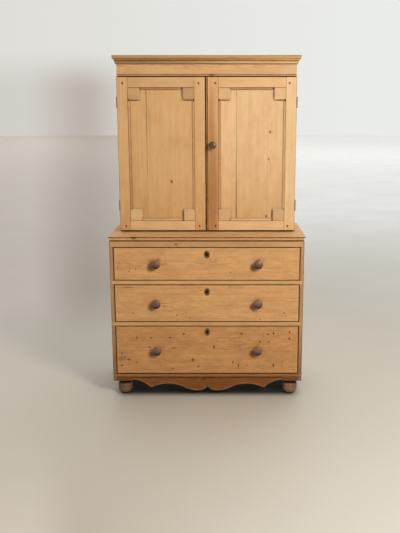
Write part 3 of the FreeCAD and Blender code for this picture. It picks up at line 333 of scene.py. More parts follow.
def wood(node, kind, grain, splits=(), other=None, where=None, knots=(), nicks=(),
         smudges=(), cracks=(), tints=(), washes=(), seams=(), deep=2.0, pith=70.0, seed=0.0):
    """Pine of one board or several: growth rings cut through by the board, knots and wear.

    grain is three letters, along, across and into the board. splits are (letter, place in mm,
    step) that count boards, so that no two are alike. other and where turn the grain of some.
    washes are (letter, from, to, shade) that darken by degrees along an axis, many of them painted
    shade falling off towards the floor, and seams are (letter, place, half width) dark lines along
    a joint: in most places dirt packed in it, and in some a painted shadow line under an overhang
    or beside a block. Marks and seams reach only deep mm behind the board's front, so that its
    edges and its back stay clean.
    """
    made = begin(bpy.data.materials.new(f"{kind.name}_{node}"))
    look = pine_look()
    low, high = box_mm(node)
    place = in_mm()
    axes = split(place)
    laid = lay(axes, grain)
    if other:
        laid = add("Mix", {0: where(axes), 4: laid, 5: lay(axes, other)},
                   data_type="VECTOR").outputs[1]
    number = seed
    for letter, at, step in splits:
        past = maths("GREATER_THAN", axes[AXIS[letter]], at)
        number = rise(past, step, number)
    chance = add("TexWhiteNoise", {"W": number}, noise_dimensions="1D").outputs["Color"]
    dice = split(chance)

    # each board has its own place in the tree: the pith lies behind it, off its middle
    shuffled = vector("MULTIPLY_ADD", chance, (900, 70, 40), laid)
    middle = [(a + b) / 2 for a, b in zip(low, high)]
    aside = 35 if splits else 35 + middle[AXIS[grain[1]]]
    centred = vector("SUBTRACT", shuffled, (0, aside, middle[AXIS[grain[2]]] + 20 - pith))
    radius = length(vector("MULTIPLY", centred, (0, 1, 1)))
    waves = noise(shuffled, (420, 130, 130), 2.0, seed)
    ripples = noise(shuffled, (110, 16, 16), 2.0, seed + 5)
    radius = rise(ripples, 5.0, rise(waves, 46.0, radius))
    if knots:
        halo = spots(laid, [(a, b, 4.5 * s, 2.6 * s) for a, b, s in knots], 0.0)
        radius = rise(halo, 17.0, radius)
    turns = maths("FRACT", maths("DIVIDE", radius, look.ring_wide * 1000 * kind.ring))
    ring = add("ValToRGB", {0: turns}, stops=(
        (0.0, 0.25), (0.12, 0.0), (0.5, 0.12), (0.86, 1.0), (1.0, 0.25))).outputs[0]
    fade = swell(noise(shuffled, (260, 34, 34), 1.0, seed + 9), 0.3, 0.7, 0.25, 1.0)
    ring = times(ring, fade)

    # rings, broad streaks and fine fibres; the fibres are 0.9 mm wide, a little coarser than real
    streak = noise(shuffled, (520, 8, 8), 3.0, seed + 13)
    fibre = noise(shuffled, (34, 0.9, 0.9), 1.0, seed + 17)
    cloud = noise(shuffled, (170, 90, 90), 2.0, seed + 21)
    colour = blend(times(ring, 0.5 * kind.contrast), kind.early, kind.late)
    colour = darken(swell(cloud, 0.38, 0.75, 0.0, kind.blotch), colour, kind.late)
    # old wax lies unevenly, so the boards are mottled in patches a hand wide
    mottle = noise(shuffled, (75, 26, 26), 3.0, seed + 45)
    light = 1.0
    for uneven, much in ((streak, 0.34 * kind.contrast), (fibre, 0.1), (dice[0], 0.1),
                         (mottle, 2 * kind.mottle)):
        light = rise(uneven, much, less(light, much / 2))
    colour = add("HueSaturation", {"Hue": rise(dice[1], 0.008, 0.496),
                                   "Value": light, "Color": colour}).outputs[0]
    # short brown dashes where dirt fills the open grain; drawn 1.6 mm wide, coarser than real
    dash = swell(noise(shuffled, (26, 1.6, 1.6), 2.0, seed + 37), 0.56, 0.76)
    colour = darken(times(dash, kind.flecks), colour, kind.late)
    ahead = swell(axes[1], low.y + deep + 2, low.y + deep)
    for mark, shade, share in tints:
        spread = times(spots(laid, [mark], 0.2), share, ahead)
        colour = blend(spread, colour, linear(shade))
    for letter, start, stop, shade in washes:
        share = swell(axes[AXIS[letter]], start, stop)
        colour = darken(share, colour, linear(shade))

    height = rise(ring, 0.05, times(fibre, 0.06))
    rough = rise(ring, -0.06, rise(cloud, 0.16, kind.rough - 0.08))
    dents = noise(place, (55, 40, 55), 1.0, seed + 25)
    height = rise(swell(dents, 0.66, 0.8), -0.35, height)
    if kind.sawn:
        # straight marks of a pit saw, 4 mm apart, slanting a little across the board
        saw = add("TexWave", {"Vector": vector("MULTIPLY", laid, (0.25, 0.03, 0.03)),
            "Scale": 0.3, "Distortion": 1.5, "Detail": 1.0}).outputs["Fac"]
        height = rise(saw, 0.25 * kind.sawn, height)
        colour = blend(times(saw, 0.10 * kind.sawn), colour, kind.late)
    if knots:
        core = spots(laid, [(a, b, 1.25 * s, s) for a, b, s in knots], 0.72)
        rim = spots(laid, [(a, b, 2.6 * s, 1.7 * s) for a, b, s in knots], 0.35)
        colour = blend(times(rim, 0.5), colour, linear("#A0622F"))
        colour = blend(times(core, 0.72), colour, linear("#6E4020"))
        height = rise(core, 0.15, height)
    if kind.specks:
        # scattered worm holes and bruises, one in a cell of 32 by 22 mm, most cells left clean
        cells = add("TexVoronoi", {"Vector": vector(
            "MULTIPLY_ADD", laid, (1 / 32, 1 / 22, 1 / 22), (seed, seed, seed)),
            "Scale": 1.0, "Randomness": 1.0}).outputs
        pick = split(cells["Color"])
        size = swell(pick[0], 1 - kind.specks, 1.0, 0.0, 0.15)
        hole = times(swell(less(cells["Distance"], size), 0.0, -0.03),
                     swell(pick[1], 0.0, 1.0, 0.35, 0.8))
        colour = blend(hole, colour, linear("#4F2A10"))
        height = rise(hole, -0.5, height)
    if smudges:
        smeared = times(spots(laid, smudges, 0.1), ahead, swell(cloud, 0.3, 0.6, 0.25, 0.6))
        colour = blend(smeared, colour, linear("#7A5532"))
    if nicks:
        marks = [(a, b, 1.5 * c, 1.6 * d) for a, b, c, d in nicks]
        bruise = times(spots(laid, marks, 0.45), ahead)
        colour = blend(times(bruise, 0.88), colour, linear("#5C300C"))
        height = rise(bruise, -0.5, height)
    dull = 0.0
    for across, start, stop, start_wide, stop_wide in cracks:
        run, over, _ = split(laid)
        wander = noise(laid, (120, 400, 400), 2.0, across)
        off = maths("ABSOLUTE", less(rise(wander, 3.0, over), across + 1.5))
        wide = add("MapRange", {0: run, 1: start, 2: stop, 3: start_wide, 4: stop_wide}).outputs[0]
        inside = swell(less(off, wide), 0.6, -0.1)
        colour = blend(times(inside, 0.85), colour, look.seam)
        height = rise(inside, -0.9, height)
        dull = most(dull, inside)

    # wax and dirt stay in corners, and painted shade darkens the same corners, gaps and undersides;
    # rubbed arrises are paler
    near = add("AmbientOcclusion", {"Distance": 0.014}, samples=4).outputs["AO"]
    held_dirt_and_shade = times(swell(near, 0.96, 0.4), kind.grime, swell(
        noise(place, (60, 60, 60), 2.0, seed), 0.25, 0.6, 0.6, 1.0))
    colour = blend(held_dirt_and_shade, colour, look.grime)
    # the pale arrises are partly real wear and partly a painted highlight along the edges
    worn = times(arrises(kind.reach), 0.5 * kind.wear, swell(
        noise(place, (45, 45, 45), 3.0, seed + 31), 0.4, 0.62, 0.15, 1.0))
    colour = blend(worn, colour, look.rubbed_and_highlit)
    dull = most(dull, held_dirt_and_shade)
    if seams:
        dirt_and_shade_lines = 0.0
        for letter, at, wide in seams:
            off = maths("ABSOLUTE", less(axes[AXIS[letter]], at))
            dirt_and_shade_lines = most(dirt_and_shade_lines, swell(off, wide, wide * 0.45))
        patchy = noise(place, (38, 38, 38), 2.0, seed + 41)
        dirt_and_shade_lines = times(dirt_and_shade_lines, swell(patchy, 0.25, 0.6, 0.75, 1.0), ahead)
        colour = blend(dirt_and_shade_lines, colour, look.seam)
        dull = most(dull, dirt_and_shade_lines)
    # dirt, and the painted shade laid with it, take the shine off, so they're drawn rougher and
    # without wax over them
    shine = less(1.0, dull)
    surface(colour, rise(dull, 0.3, rough), height,
            Coat_Weight=times(shine, kind.coat), Coat_Roughness=0.35,
            Specular_IOR_Level=rise(shine, 0.4, 0.1))
    return made


def finish(node, material, edge=None):
    """Lays a material on a CAD node and wears its arrises round."""
    thing = NODES[node]
    thing.data.materials.clear()
    thing.data.materials.append(material)
    wide = pine_look().edge_round if edge is None else edge
    if wide:
        for name, kind, settings in (("joined corners", "WELD", {"merge_threshold": 0.00001}),
                ("whole faces", "DECIMATE", {"decimate_type": "DISSOLVE",
                                             "angle_limit": radians(0.6)}),
                ("worn arrises", "BEVEL", {"width": wide, "segments": 3, "limit_method": "ANGLE",
                                           "angle_limit": radians(35), "harden_normals": False}),
                ("even shading", "WEIGHTED_NORMAL", {"keep_sharp": False})):
            set_all(thing.modifiers.new(name, kind), settings)


def dress(node, kind, grain, edge=None, **traits):
    """Gives a CAD node its own wood."""
    finish(node, wood(node, kind, grain, **traits), edge)


def waxed(**traits):
    look = pine_look()
    return Wood(look.waxed_early, look.waxed_late, **traits)


def bare(**traits):
    look = pine_look()
    dull = {"rough": 0.72, "coat": 0.0, "grime": 0.45, "wear": 0.15, "blotch": 0.12,
            "name": "sawn_pine" if "sawn" in traits else "bare_pine"}
    return Wood(look.bare_early, look.bare_late, **{**dull, **traits})


def iron():
    """Dark forged iron, rough from the fire and browned by old rust in patches."""
    made = begin(bpy.data.materials.new("wrought_iron_dark"))
    look = bpy.context.scene.press_metal
    place = in_mm()
    patch = swell(noise(place, (9, 9, 9), 3.0), 0.42, 0.62)
    grit = noise(place, (0.8, 0.8, 0.8), 2.0, 3.0)
    colour = blend(patch, look.iron, look.rust)
    colour = darken(0.35, colour, blend(grit, linear("#2A2320"), linear("#8A7464")))
    height = rise(grit, 0.08, times(patch, 0.06))
    surface(colour, rise(patch, 0.3, 0.45), height, Metallic=0.75)
    return made


def brass(keyholes):
    """Cast brass that fingers and keys have kept bright on its edges and left brown elsewhere."""
    made = begin(bpy.data.materials.new("cast_brass_tarnished"))
    look = bpy.context.scene.press_metal
    place = in_mm()
    patch = swell(noise(place, (7, 7, 7), 3.0), 0.35, 0.62, 0.25, 0.95)
    share = times(patch, swell(arrises(0.002), 0.0, 1.0, 1.0, 0.25))
    colour = blend(share, look.brass, look.tarnish)
    # fingers and keys have left a black-brown crust round the keyhole
    crust = spots(lay(split(place), "xzy"), [(0, key, 6.5, 10) for key in keyholes], 0.8, 1.15)
    colour = blend(crust, colour, look.crust)
    fine = noise(place, (6, 0.3, 6), 1.0, 2.0)
    rough = rise(crust, 0.25, rise(share, 0.3, 0.3))
    surface(colour, rough, times(fine, 0.02), Metallic=1.0)
    return made


# ------------------------------------------------------------------ new pieces

def piece(name, mesh, material, body):
    """Turns a bmesh into a piece of the press that rides on a body."""
    bmesh.ops.remove_doubles(mesh, verts=mesh.verts, dist=0.000001)
    data = bpy.data.meshes.new(name)
    mesh.to_mesh(data)
    mesh.free()
    data.materials.append(material)
    for face in data.polygons:
        face.use_smooth = True
    data.set_sharp_from_angle(angle=radians(35))
    made = bpy.data.objects.new(name, data)
    bpy.context.scene.collection.objects.link(made)
    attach(made, body)
    return made


def fresh(mesh, before):
    """The corners made since."""
    return [spot for spot in mesh.verts if spot not in before]


def set_down(mesh, before, place, facing, slant=0.0):
    """Moves what was made since to a place, facing one way and turned by a slant."""
    turn = Vector((0, 0, 1)).rotation_difference(Vector(facing)).to_matrix().to_4x4()
    bmesh.ops.transform(mesh, verts=fresh(mesh, before), matrix=Matrix.Translation(place) @ turn
                        @ Matrix.Rotation(slant, 4, "Z"))


def turned_head(mesh, profile, place, facing, steps=24):
    """Spins a profile of (radius, height) round an axis and sets it down facing one way."""
    before = set(mesh.verts)
    ring = [mesh.verts.new((radius, 0, high)) for radius, high in profile]
    edges = [mesh.edges.new(pair) for pair in zip(ring, ring[1:])]
    bmesh.ops.spin(mesh, geom=ring + edges, cent=(0, 0, 0), axis=(0, 0, 1), angle=tau,
                   steps=steps, use_merge=True)
    bmesh.ops.remove_doubles(mesh, verts=fresh(mesh, before), dist=0.000001)
    set_down(mesh, before, place, facing)
    faces = list({face for spot in fresh(mesh, before) for face in spot.link_faces})
    bmesh.ops.recalc_face_normals(mesh, faces=faces)


def screw(mesh, place, facing, wide, slant):
    """A countersunk screw head with a sawn slot, standing a hair above the metal."""
    before = set(mesh.verts)
    disc = bmesh.ops.create_circle(mesh, cap_ends=True, segments=20, radius=wide / 2)
    face = disc["verts"][0].link_faces[0]
    up = bmesh.ops.extrude_face_region(mesh, geom=[face])["geom"]
    rim = [item for item in up if isinstance(item, bmesh.types.BMVert)]
    bmesh.ops.translate(mesh, verts=rim, vec=(0, 0, 0.00035))
    top = [item for item in up if isinstance(item, bmesh.types.BMFace)][0]
    bmesh.ops.inset_region(mesh, faces=[top], thickness=0.00035, depth=0.00008)
    for side in (-1, 1):
        mine = [item for item in mesh.verts[:] + mesh.edges[:] + mesh.faces[:]
                if all(spot not in before for spot in getattr(item, "verts", [item]))]
        bmesh.ops.bisect_plane(mesh, geom=mine, plane_co=(side * wide * 0.07, 0, 0),
                               plane_no=(1, 0, 0))
    slot = [face for face in mesh.faces if all(spot not in before for spot in face.verts)
            and face.normal.z > 0.9 and abs(face.calc_center_median().x) < wide * 0.06]
    bmesh.ops.inset_region(mesh, faces=slot, thickness=0.00002, depth=-0.0003)
    set_down(mesh, before, place, facing, slant)


def nail(mesh, place, facing, long, slant):
    """The hammered rose head of a cut nail, four sloping facets on a small rectangle."""
    before = set(mesh.verts)
    block = bmesh.ops.create_cube(mesh, size=1,
                                  matrix=Matrix.Diagonal((long, long * 0.72, NAIL_BLOCK, 1)))
    top = [face for spot in block["verts"] for face in spot.link_faces if face.normal.z > 0.9][0]
    bmesh.ops.inset_region(mesh, faces=[top], thickness=long * 0.24, depth=NAIL_RISE)
    set_down(mesh, before, place, facing, slant)


# ------------------------------------------------------------------ operators

class PRESS_OT_chest(bpy.types.Operator):
    """Finish the chest's sides, top, rails, bottom and back"""
    bl_idname = "press.chest"
    bl_label = "Finish the chest"

    def execute(self, context):
        # solid pine boards, planed and waxed for a century: honey brown with soft streaks
        for side, seed, shade in (("left", 3.0, "#CFC4BC"), ("right", 4.0, "#D7CFCC")):
            node = f"chest_side_{side}"
            low, high = box_mm(node)
            # the narrow front edges are handled and kicked, so they are darker than the sides
            dress(node, waxed(), "zyx", edge=0.0012, seed=seed, knots=[(610, 60, 9), (300, -90, 6)],
                  # painted shade: the sides darken towards the floor, where less light falls
                  washes=[("y", low.y + 12, low.y + 3, shade), ("z", 420, 90, "#D0BEAE")],
                  seams=dirt_and_shade_round(low, high, 2.6, 2.6) + [("z", high.z, 3.0)])
        dress("chest_top_board", waxed(rough=0.75, coat=0.0), "xyz",
              edge=0.0006, seed=5.0, deep=600, nicks=[(-391, -243, 14, 4), (240, -246, 5, 3)],
              # painted shade under the ovolo of the front edge, dirt and painted shade in the quirk
              # above it, and a painted shadow line under the top
              tints=[((-391, -247, 40, 12), "#8A5A30", 0.6)], washes=[("z", 885, 879, "#A8917C")],
              seams=[("z", 896.4, 3.7), ("z", 877, 4.0)])
        dress("drawer_rails", waxed(), "xzy", edge=0.0008, seed=6.0,
              splits=[("z", 260, 1), ("z", 520, 2), ("z", 740, 4)], knots=[(-165, 858, 6)],
              # painted shade: darker under the top's overhang and lower down, the bottom rail most;
              # the wide line at the rails' top edge is a painted shadow under the top
              washes=[("z", 830, 845, "#E6E3E0"), ("z", 135, 124, "#BBA793"),
                      ("z", 700, 650, "#F3EDE4")],
              seams=[("z", 876, 3.6), ("z", 843, 1.6), ("z", 659, 1.4), ("z", 637, 1.4),
                     ("z", 426, 1.4), ("z", 404, 1.4), ("z", 126, 1.8), ("z", 108, 3.0)])
        # the inside boards were never waxed: greyer, duller, with the saw's marks left on the back
        dress("chest_bottom_board", bare(), "xyz", seed=8.0)
        dress("drawer_runners_and_stops", bare(), "yxz", seed=9.0,
              splits=[("x", 0, 1), ("z", 500, 2), ("z", 760, 4)])
        dress("chest_back_boards", bare(sawn=1.0), "xzy", seed=10.0,
              splits=[("z", 282, 1), ("z", 480, 2), ("z", 678, 4)],
              knots=[(-300, 380, 11), (210, 600, 8)])
        return {"FINISHED"}


class PRESS_OT_cupboard(bpy.types.Operator):
    """Finish the cupboard's sides, floor, ceiling, shelves and back"""
    bl_idname = "press.cupboard"
    bl_label = "Finish the cupboard"

    def execute(self, context):
        for side, seed in (("left", 13.0), ("right", 14.0)):
            node = f"cupboard_side_{side}"
            dress(node, waxed(), "zyx", edge=0.0012, seed=seed,
                  knots=[(1420, 120, 10), (1090, 40, 7)])
        inner = bare(rough=0.6)
        for node, seed in (("cupboard_bottom_board", 15.0), ("cupboard_top_board", 16.0)):
            dress(node, inner, "xyz", seed=seed)
        dress("cupboard_shelves", inner, "xyz", edge=0.0012, seed=17.0,
              splits=[("z", 1350, 1)], knots=[(150, 60, 8)])
        dress("shelf_battens", inner, "yzx", seed=18.0, splits=[("z", 1350, 1), ("x", 0, 2)])
        dress("cupboard_back_boards", bare(sawn=1.0), "zxy", seed=19.0,
              splits=[("x", -284.4, 1), ("x", -94.8, 2), ("x", 94.8, 4), ("x", 284.4, 8)],
              knots=[(1330, -190, 12), (1620, 330, 9), (1050, 60, 8)])
        return {"FINISHED"}


class PRESS_OT_mouldings(bpy.types.Operator):
    """Finish the frieze, the mitred cornice and the scalloped apron"""
    bl_idname = "press.mouldings"
    bl_label = "Finish the mouldings"

    def execute(self, context):
        dress("frieze_board", waxed(), "xzy", edge=0.0006, seed=23.0, nicks=[(26, 1748, 14, 4)],
              tints=[((440, 1775, 60, 40), "#C9B08C", 0.5), ((-109, 1786, 26, 5), "#A0622F", 0.35)],
              seams=[("z", 1750, 2.0), ("z", 1741, 1.6), ("z", 1803, 1.6)])
        low, high = box_mm("cornice_moulding")

        def returns(axes):
            """The lengths of cornice down the sides, behind the mitres."""
            out = less(high.x, maths("ABSOLUTE", axes[0]))
            return maths("GREATER_THAN", less(axes[1], low.y), out)
        # the top fillet is drawn a little darker; a pale patch is painted light on the left end of
        # the cove, far from the lamp, and the seams are painted shadow lines under the members of
        # the profile
        dress("cornice_moulding",
              waxed(grime=0.0, blotch=0.0, contrast=0.6), "xzy", edge=0.0005, seed=27.0,
              other="yzx", where=returns, deep=400, washes=[("z", 1833, 1840, "#F0E7DE")],
              tints=[((-540, 1814, 1000, 15), "#FFD9A0", 0.75)],
              seams=[("z", 1832, 2.0), ("z", 1820.5, 2.8), ("z", 1805, 0.9)])
        # the apron took a darker stain, and has a knot near its middle; the wide dark line along
        # its top is painted shadow under the bottom rail, and its pale worn edges double as a
        # painted highlight
        look = pine_look()
        stained = Wood(look.stained_early, look.stained_late, name="stained_pine", rough=0.6,
                       coat=0.0, contrast=0.6, grime=0.6, wear=0.4, blotch=0.05, mottle=0.35,
                       reach=0.012)
        dress("apron", stained, "xzy", edge=0.0015, seed=25.0,
              tints=[((-22, 94, 17, 13), "#3A1E08", 0.85)], seams=[("z", 110, 13.0)])
        return {"FINISHED"}


class PRESS_OT_doors(bpy.types.Operator):
    """Finish both doors: stiles, rails, panels, strips, corner blocks and pegs"""
    bl_idname = "press.doors"
    bl_label = "Finish the doors"

    def execute(self, context):
        look = pine_look()
        # the left door kept its honey colour; the right one, nearer the window, is drawn paler:
        # partly faded, and partly painted light from the window
        honey, faded_and_lit = (look.waxed_early, look.waxed_late), (look.pale_early, look.pale_late)
        self.door("left", 31.0, honey, joint=-328, knots=[(1178, -196, 7)],
                  cracks=[(-328, 1645, 1190, 1.8, 0.2)], reds=[], beads=[], deep=2.0,
                  # painted shade: the left door's stiles and panel darken towards the bottom; its
                  # top rail and top blocks are a little darker
                  stile_wash=("z", 1300, 950, "#FAF6EC"), panel_wash=("z", 1300, 950, "#F8F5EB"),
                  rail_shade="#EDE4DA", block_shade="#DDD5C7")
        self.door("right", 41.0, faded_and_lit, joint=160,
                  knots=[(1447, 344, 6), (1301, 337, 4.5), (985, 328, 6)],
                  cracks=[(160, 1389, 985, 0.6, 2.8)], beads=[(0, 6.0), (8, 2.2)], deep=5.0,
                  reds=[((1120, 28, 480, 60), "#A0652F", 0.7),
                        ((1520, 24, 260, 26), "#B5733C", 0.55)],
                  # painted shade: the right door's panel darkens towards the bottom; its meeting
                  # stile, top rail and top blocks are darker
                  stile_wash=("x", 70, 60, "#F6E7CE"), panel_wash=("z", 1350, 1000, "#F1EADD"),
                  rail_shade="#F4EEE4", block_shade="#F5F0EA")
        return {"FINISHED"}

    def door(self, side, seed, colours, joint, knots, cracks, reds, beads, deep, stile_wash,
             panel_wash, rail_shade, block_shade):
        """Finishes one door; joint parts its panel's boards, beads are worked along its stile."""
        door = f"{side}_door"
        look = pine_look()
        pale = (look.pale_early, look.pale_late)
        stile_low, stile_high = box_mm(f"{door}_stiles")
        rail_low, rail_high = box_mm(f"{door}_rails")
        low, high = box_mm(f"{door}_beads")
        across, up = middle_mm(f"{door}_stiles").x, middle_mm(f"{door}_rails").z
        corners = [("x", across, 1), ("z", up, 2)]
        ends = [("z", rail_low.z, 1.5), ("z", rail_high.z, 1.8)]
        # the pegs' end grain drank in dirt, and it spread a little round each
        peg_low, peg_high = box_mm(f"{door}_pegs")
        peg = 5
        halos = [((z, x, 9.5, 8), "#451F04", 0.9) for x in (peg_low.x + peg, peg_high.x - peg)
                 for z in (peg_low.z + peg, peg_high.z - peg)]
        dress(f"{door}_stiles", Wood(*colours), "zxy", seed=seed,
              splits=[("x", across, 1)], tints=reds + halos, washes=[stile_wash], deep=deep,
              seams=ends + dirt_and_shade_round(low, high, 1.1, 1.1)
              + dirt_and_shade_round(stile_low, stile_high, 2.0, 2.0)
              + [("x", stile_low.x + away, wide) for away, wide in beads])
        dress(f"{door}_rails", Wood(*pale, contrast=0.9), "xzy",
              seed=seed + 1, splits=[("z", up, 1)], washes=[("z", 1300, 1500, rail_shade)],
              seams=ends + dirt_and_shade_round(low, high, 1.1, 1.1, 1.3, 1.5))
        strip, block = 11, 66
        # painted shadows of the corner blocks, beneath them and at their left, away from the light
        # at the upper right
        beneath, left_of = high.z - block - 1.5, high.x - block - 1.5
        block_shadows = [((beneath, low.x + block / 2, 5, 46), "#54290A", 0.9),
                 ((beneath, high.x - block / 2, 5, 46), "#54290A", 0.9),
                 ((high.z - block / 2, left_of, 44, 6), "#54290A", 0.7),
                 ((low.z + block / 2, left_of, 42, 7), "#54290A", 0.95)]
        dress(f"{door}_panel", Wood(*colours, contrast=0.85), "zxy",
              edge=0.0, seed=seed + 2, splits=[("x", joint, 1)], knots=knots, cracks=cracks,
              washes=[panel_wash], tints=block_shadows,
              # the lines along the panel's right and top edges are wider: painted shadow of the
              # frame and strips, lit from the upper right
              seams=dirt_and_shade_round(low, high, 2.2, 3.0, 1.8, 3.0, inset=strip))

        def upright(axes):
            """The strips beside the panel, between the corner blocks."""
            return times(maths("GREATER_THAN", axes[2], low.z + 30),
                         maths("LESS_THAN", axes[2], high.z - 30))
        dress(f"{door}_beads", Wood(*colours), "xzy", edge=0.0006,
              seed=seed + 3, other="zxy", where=upright, splits=corners,
              # painted shade: the top strip under the top rail, and the left strip, whose slope
              # faces the light, are darkened
              washes=[("z", high.z - 14, high.z - 8, "#D3C0A6"),
                      ("x", low.x + 22, low.x + 12, "#D8C4AE")],
              seams=dirt_and_shade_round(low, high, 1.9, 1.9, 1.6, 1.8)
              # painted shadows of the corner blocks on the strips, beneath them and at their left
              + [("z", beneath - 1.5, 5.0), ("x", left_of - 1.5, 5.0)])
        dress(f"{door}_corner_blocks",
              Wood(*pale, contrast=0.8, grime=0.9), "xzy", seed=seed + 4, splits=corners,
              # the top blocks are a little darker, and the bottom ones take painted shade, darker
              # towards the bottom
              washes=[("z", 1300, 1500, block_shade), ("z", 1300, 1100, "#F2F5F3")],
              seams=dirt_and_shade_round(low, high, 1.9, 1.9, 1.2, 2.0)
              # the wide lines at the blocks' inner edges, left of the right blocks and beneath the
              # top ones, are painted shade on their sloped sides turned from the light
              + dirt_and_shade_round(low, high, 0.8, 2.6, 1.4, 3.2, inset=block))
        pegs = Wood(linear("#3A2010"), linear("#1A0D05"), name="oak", rough=0.85, coat=0.0,
                    grime=0.9, ring=0.4, wear=0.0)
        dress(f"{door}_pegs", pegs, "yxz", edge=0.0, seed=seed + 5)


class PRESS_OT_drawers(bpy.types.Operator):
    """Finish the three drawers: fronts, dovetailed sides and backs, and bottoms"""
    bl_idname = "press.drawers"
    bl_label = "Finish the drawers"

    def execute(self, context):
        look = pine_look()
        upper = Wood(look.drawer_early, look.drawer_late, specks=0.2, contrast=1.15, flecks=0.5,
                     mottle=0.22)
        # the bottom drawer is more worm-eaten, and its darker colours are painted shade towards the
        # floor
        lowest_shaded = Wood(look.low_shaded_early, look.low_shaded_late, specks=0.75, contrast=1.15, flecks=0.8,
                      mottle=0.28)
        self.drawer("top", 51.0, upper, 1.8, [],
                    nicks=[(-421, 710, 5, 1.6), (-480, 727, 3, 2), (167, 839, 7, 1.5)],
                    smudges=[(-300, 763, 34, 30), (-262, 773, 20, 22), (280, 763, 24, 22)])
        self.drawer("middle", 56.0, upper, 1.8, [], nicks=[
            (-426, 621, 28, 1.2), (-165, 464, 3, 4.5), (421, 475, 3, 3), (432, 459, 3, 2.5),
            (410, 458, 2.5, 2.5), (-406, 475, 4, 2.5), (-94, 449, 2.5, 3), (-160, 438, 3, 2),
            (290, 441, 5, 1.6), (125, 628, 8, 1.3)], smudges=[
            (-285, 532, 30, 28), (-232, 514, 26, 12), (-205, 487, 22, 9), (280, 537, 24, 24)])
        self.drawer("bottom", 63.0, lowest_shaded, 4.0, [(-120, 360, 3)], nicks=[
            (-387, 335, 5, 4), (-310, 335, 4, 4), (-131, 358, 5.5, 4.5), (-320, 283, 5, 4.5),
            (-184, 277, 13, 1.8), (-80, 207, 7, 7), (-473, 245, 4, 5), (-435, 210, 9, 3.5),
            (-391, 193, 8, 2.6), (-475, 175, 6, 4), (-192, 157, 9, 2), (-50, 169, 6, 4),
            (189, 358, 6, 4), (365, 361, 4.5, 7), (341, 312, 3.5, 5), (453, 367, 5, 5),
            (453, 330, 4.5, 6), (142, 193, 3, 7), (173, 175, 3, 9), (367, 175, 4, 9),
            (37, 283, 5, 6), (-205, 336, 8, 3), (290, 312, 4, 5), (335, 355, 5, 4)], smudges=[
            (-275, 263, 30, 26), (275, 265, 26, 24), (-470, 218, 34, 26)])
        return {"FINISHED"}

    def drawer(self, name, seed, kind, dirt, knots, nicks, smudges):
        """Finishes one drawer; dirt is the half width of the line under its front."""
        drawer = f"{name}_drawer"
        knob_low, knob_high = box_mm(f"{drawer}_knobs")
        knob = 25
        knob_up = middle_mm(f"{drawer}_knobs").z
        key = middle_mm(f"{drawer}_escutcheon").z
        # painted shadow of each knob, below and left of it, with the dirt of wax and hands
        knob_shadows_and_dirt = [((x - 25, knob_up - 22, 29, 27), "#5C3410", 0.75)
                   for x in (knob_low.x + knob, knob_high.x - knob)]
        dress(f"{drawer}_front", kind, "xzy", edge=0.0013, seed=seed,
              knots=knots, nicks=nicks, smudges=smudges,
              tints=knob_shadows_and_dirt + [((0, key, 19.5, 25), "#4A2A12", 0.8)],
              seams=dirt_and_shade_round(*box_mm(f"{drawer}_front"), 2.0, 2.0, dirt, 2.4))
        rear = box_mm(f"{drawer}_sides_and_back")[1].y - 12

        def back(axes):
            """The board across the back of the drawer."""
            return maths("GREATER_THAN", axes[1], rear)
        dress(f"{drawer}_sides_and_back", bare(), "yzx", edge=0.0005,
              seed=seed + 1, other="xzy", where=back, splits=[("x", 0, 1)])
        dress(f"{drawer}_bottom", bare(), "xyz", edge=0.0, seed=seed + 2)


class PRESS_OT_turnery(bpy.types.Operator):
    """Finish the turned knobs, and the feet with their blocks"""
    bl_idname = "press.turnery"
    bl_label = "Finish the turnery"

    def execute(self, context):
        look = context.scene.press_turnery
        # drawer knobs: turned hardwood greyed by hands, end grain to the front
        knob = Wood(look.knob_early, look.knob_late, name="turned_hardwood", rough=0.38, coat=0.6,
                    contrast=1.3, grime=0.9, wear=0.5, ring=0.5, blotch=0.3)
        for name, seed in zip(DRAWERS, (71.0, 73.0, 75.0)):
            node = f"{name}_drawer_knobs"
            low, high = box_mm(node)
            # the undersides are darker: painted shade, with the dirt they keep; the tops are rubbed
            # paler
            dress(node, knob, "yxz", edge=0.0, splits=[("x", 0, 1)],
                  pith=12.0, seed=seed, washes=[("z", high.z - 14, low.z + 8, "#6E4526")])
        handle = Wood(look.door_early, look.door_late, name="turned_hardwood", rough=0.36,
                      coat=0.25, contrast=1.2, grime=0.9, wear=0.4, ring=0.5, blotch=0.6)
        dress("turn_knob", handle, "yxz", edge=0.0, pith=12.0, seed=77.0)
        # feet: scuffed and dusty, with old dark wax left in the necks and painted shade darkening
        # them under the blocks; the left feet, further from the light, carry painted shade, and the
        # bottoms are darker
        foot = Wood(look.foot_early, look.foot_late, name="scuffed_pine", rough=0.62, coat=0.0,
                    contrast=1.2, grime=1.0, wear=0.5, ring=0.8, blotch=0.6)
        four = [("x", 0, 1), ("y", 20, 2)]
        dress("turned_feet", foot, "zxy", edge=0.0, splits=four, seed=81.0,
              washes=[("z", 56, 70, "#6E5444"), ("z", 20, 4, "#B09A86"), ("x", 0, -400, "#CABFB6")])
        # the blocks' front edges took the apron's stain, their insides stayed bare
        dress("foot_blocks", bare(), "xyz", splits=four, seed=83.0,
              washes=[("y", -200, -228, "#8A6848")], seams=[("z", 84, 2.0), ("z", 108, 2.0)])
        return {"FINISHED"}


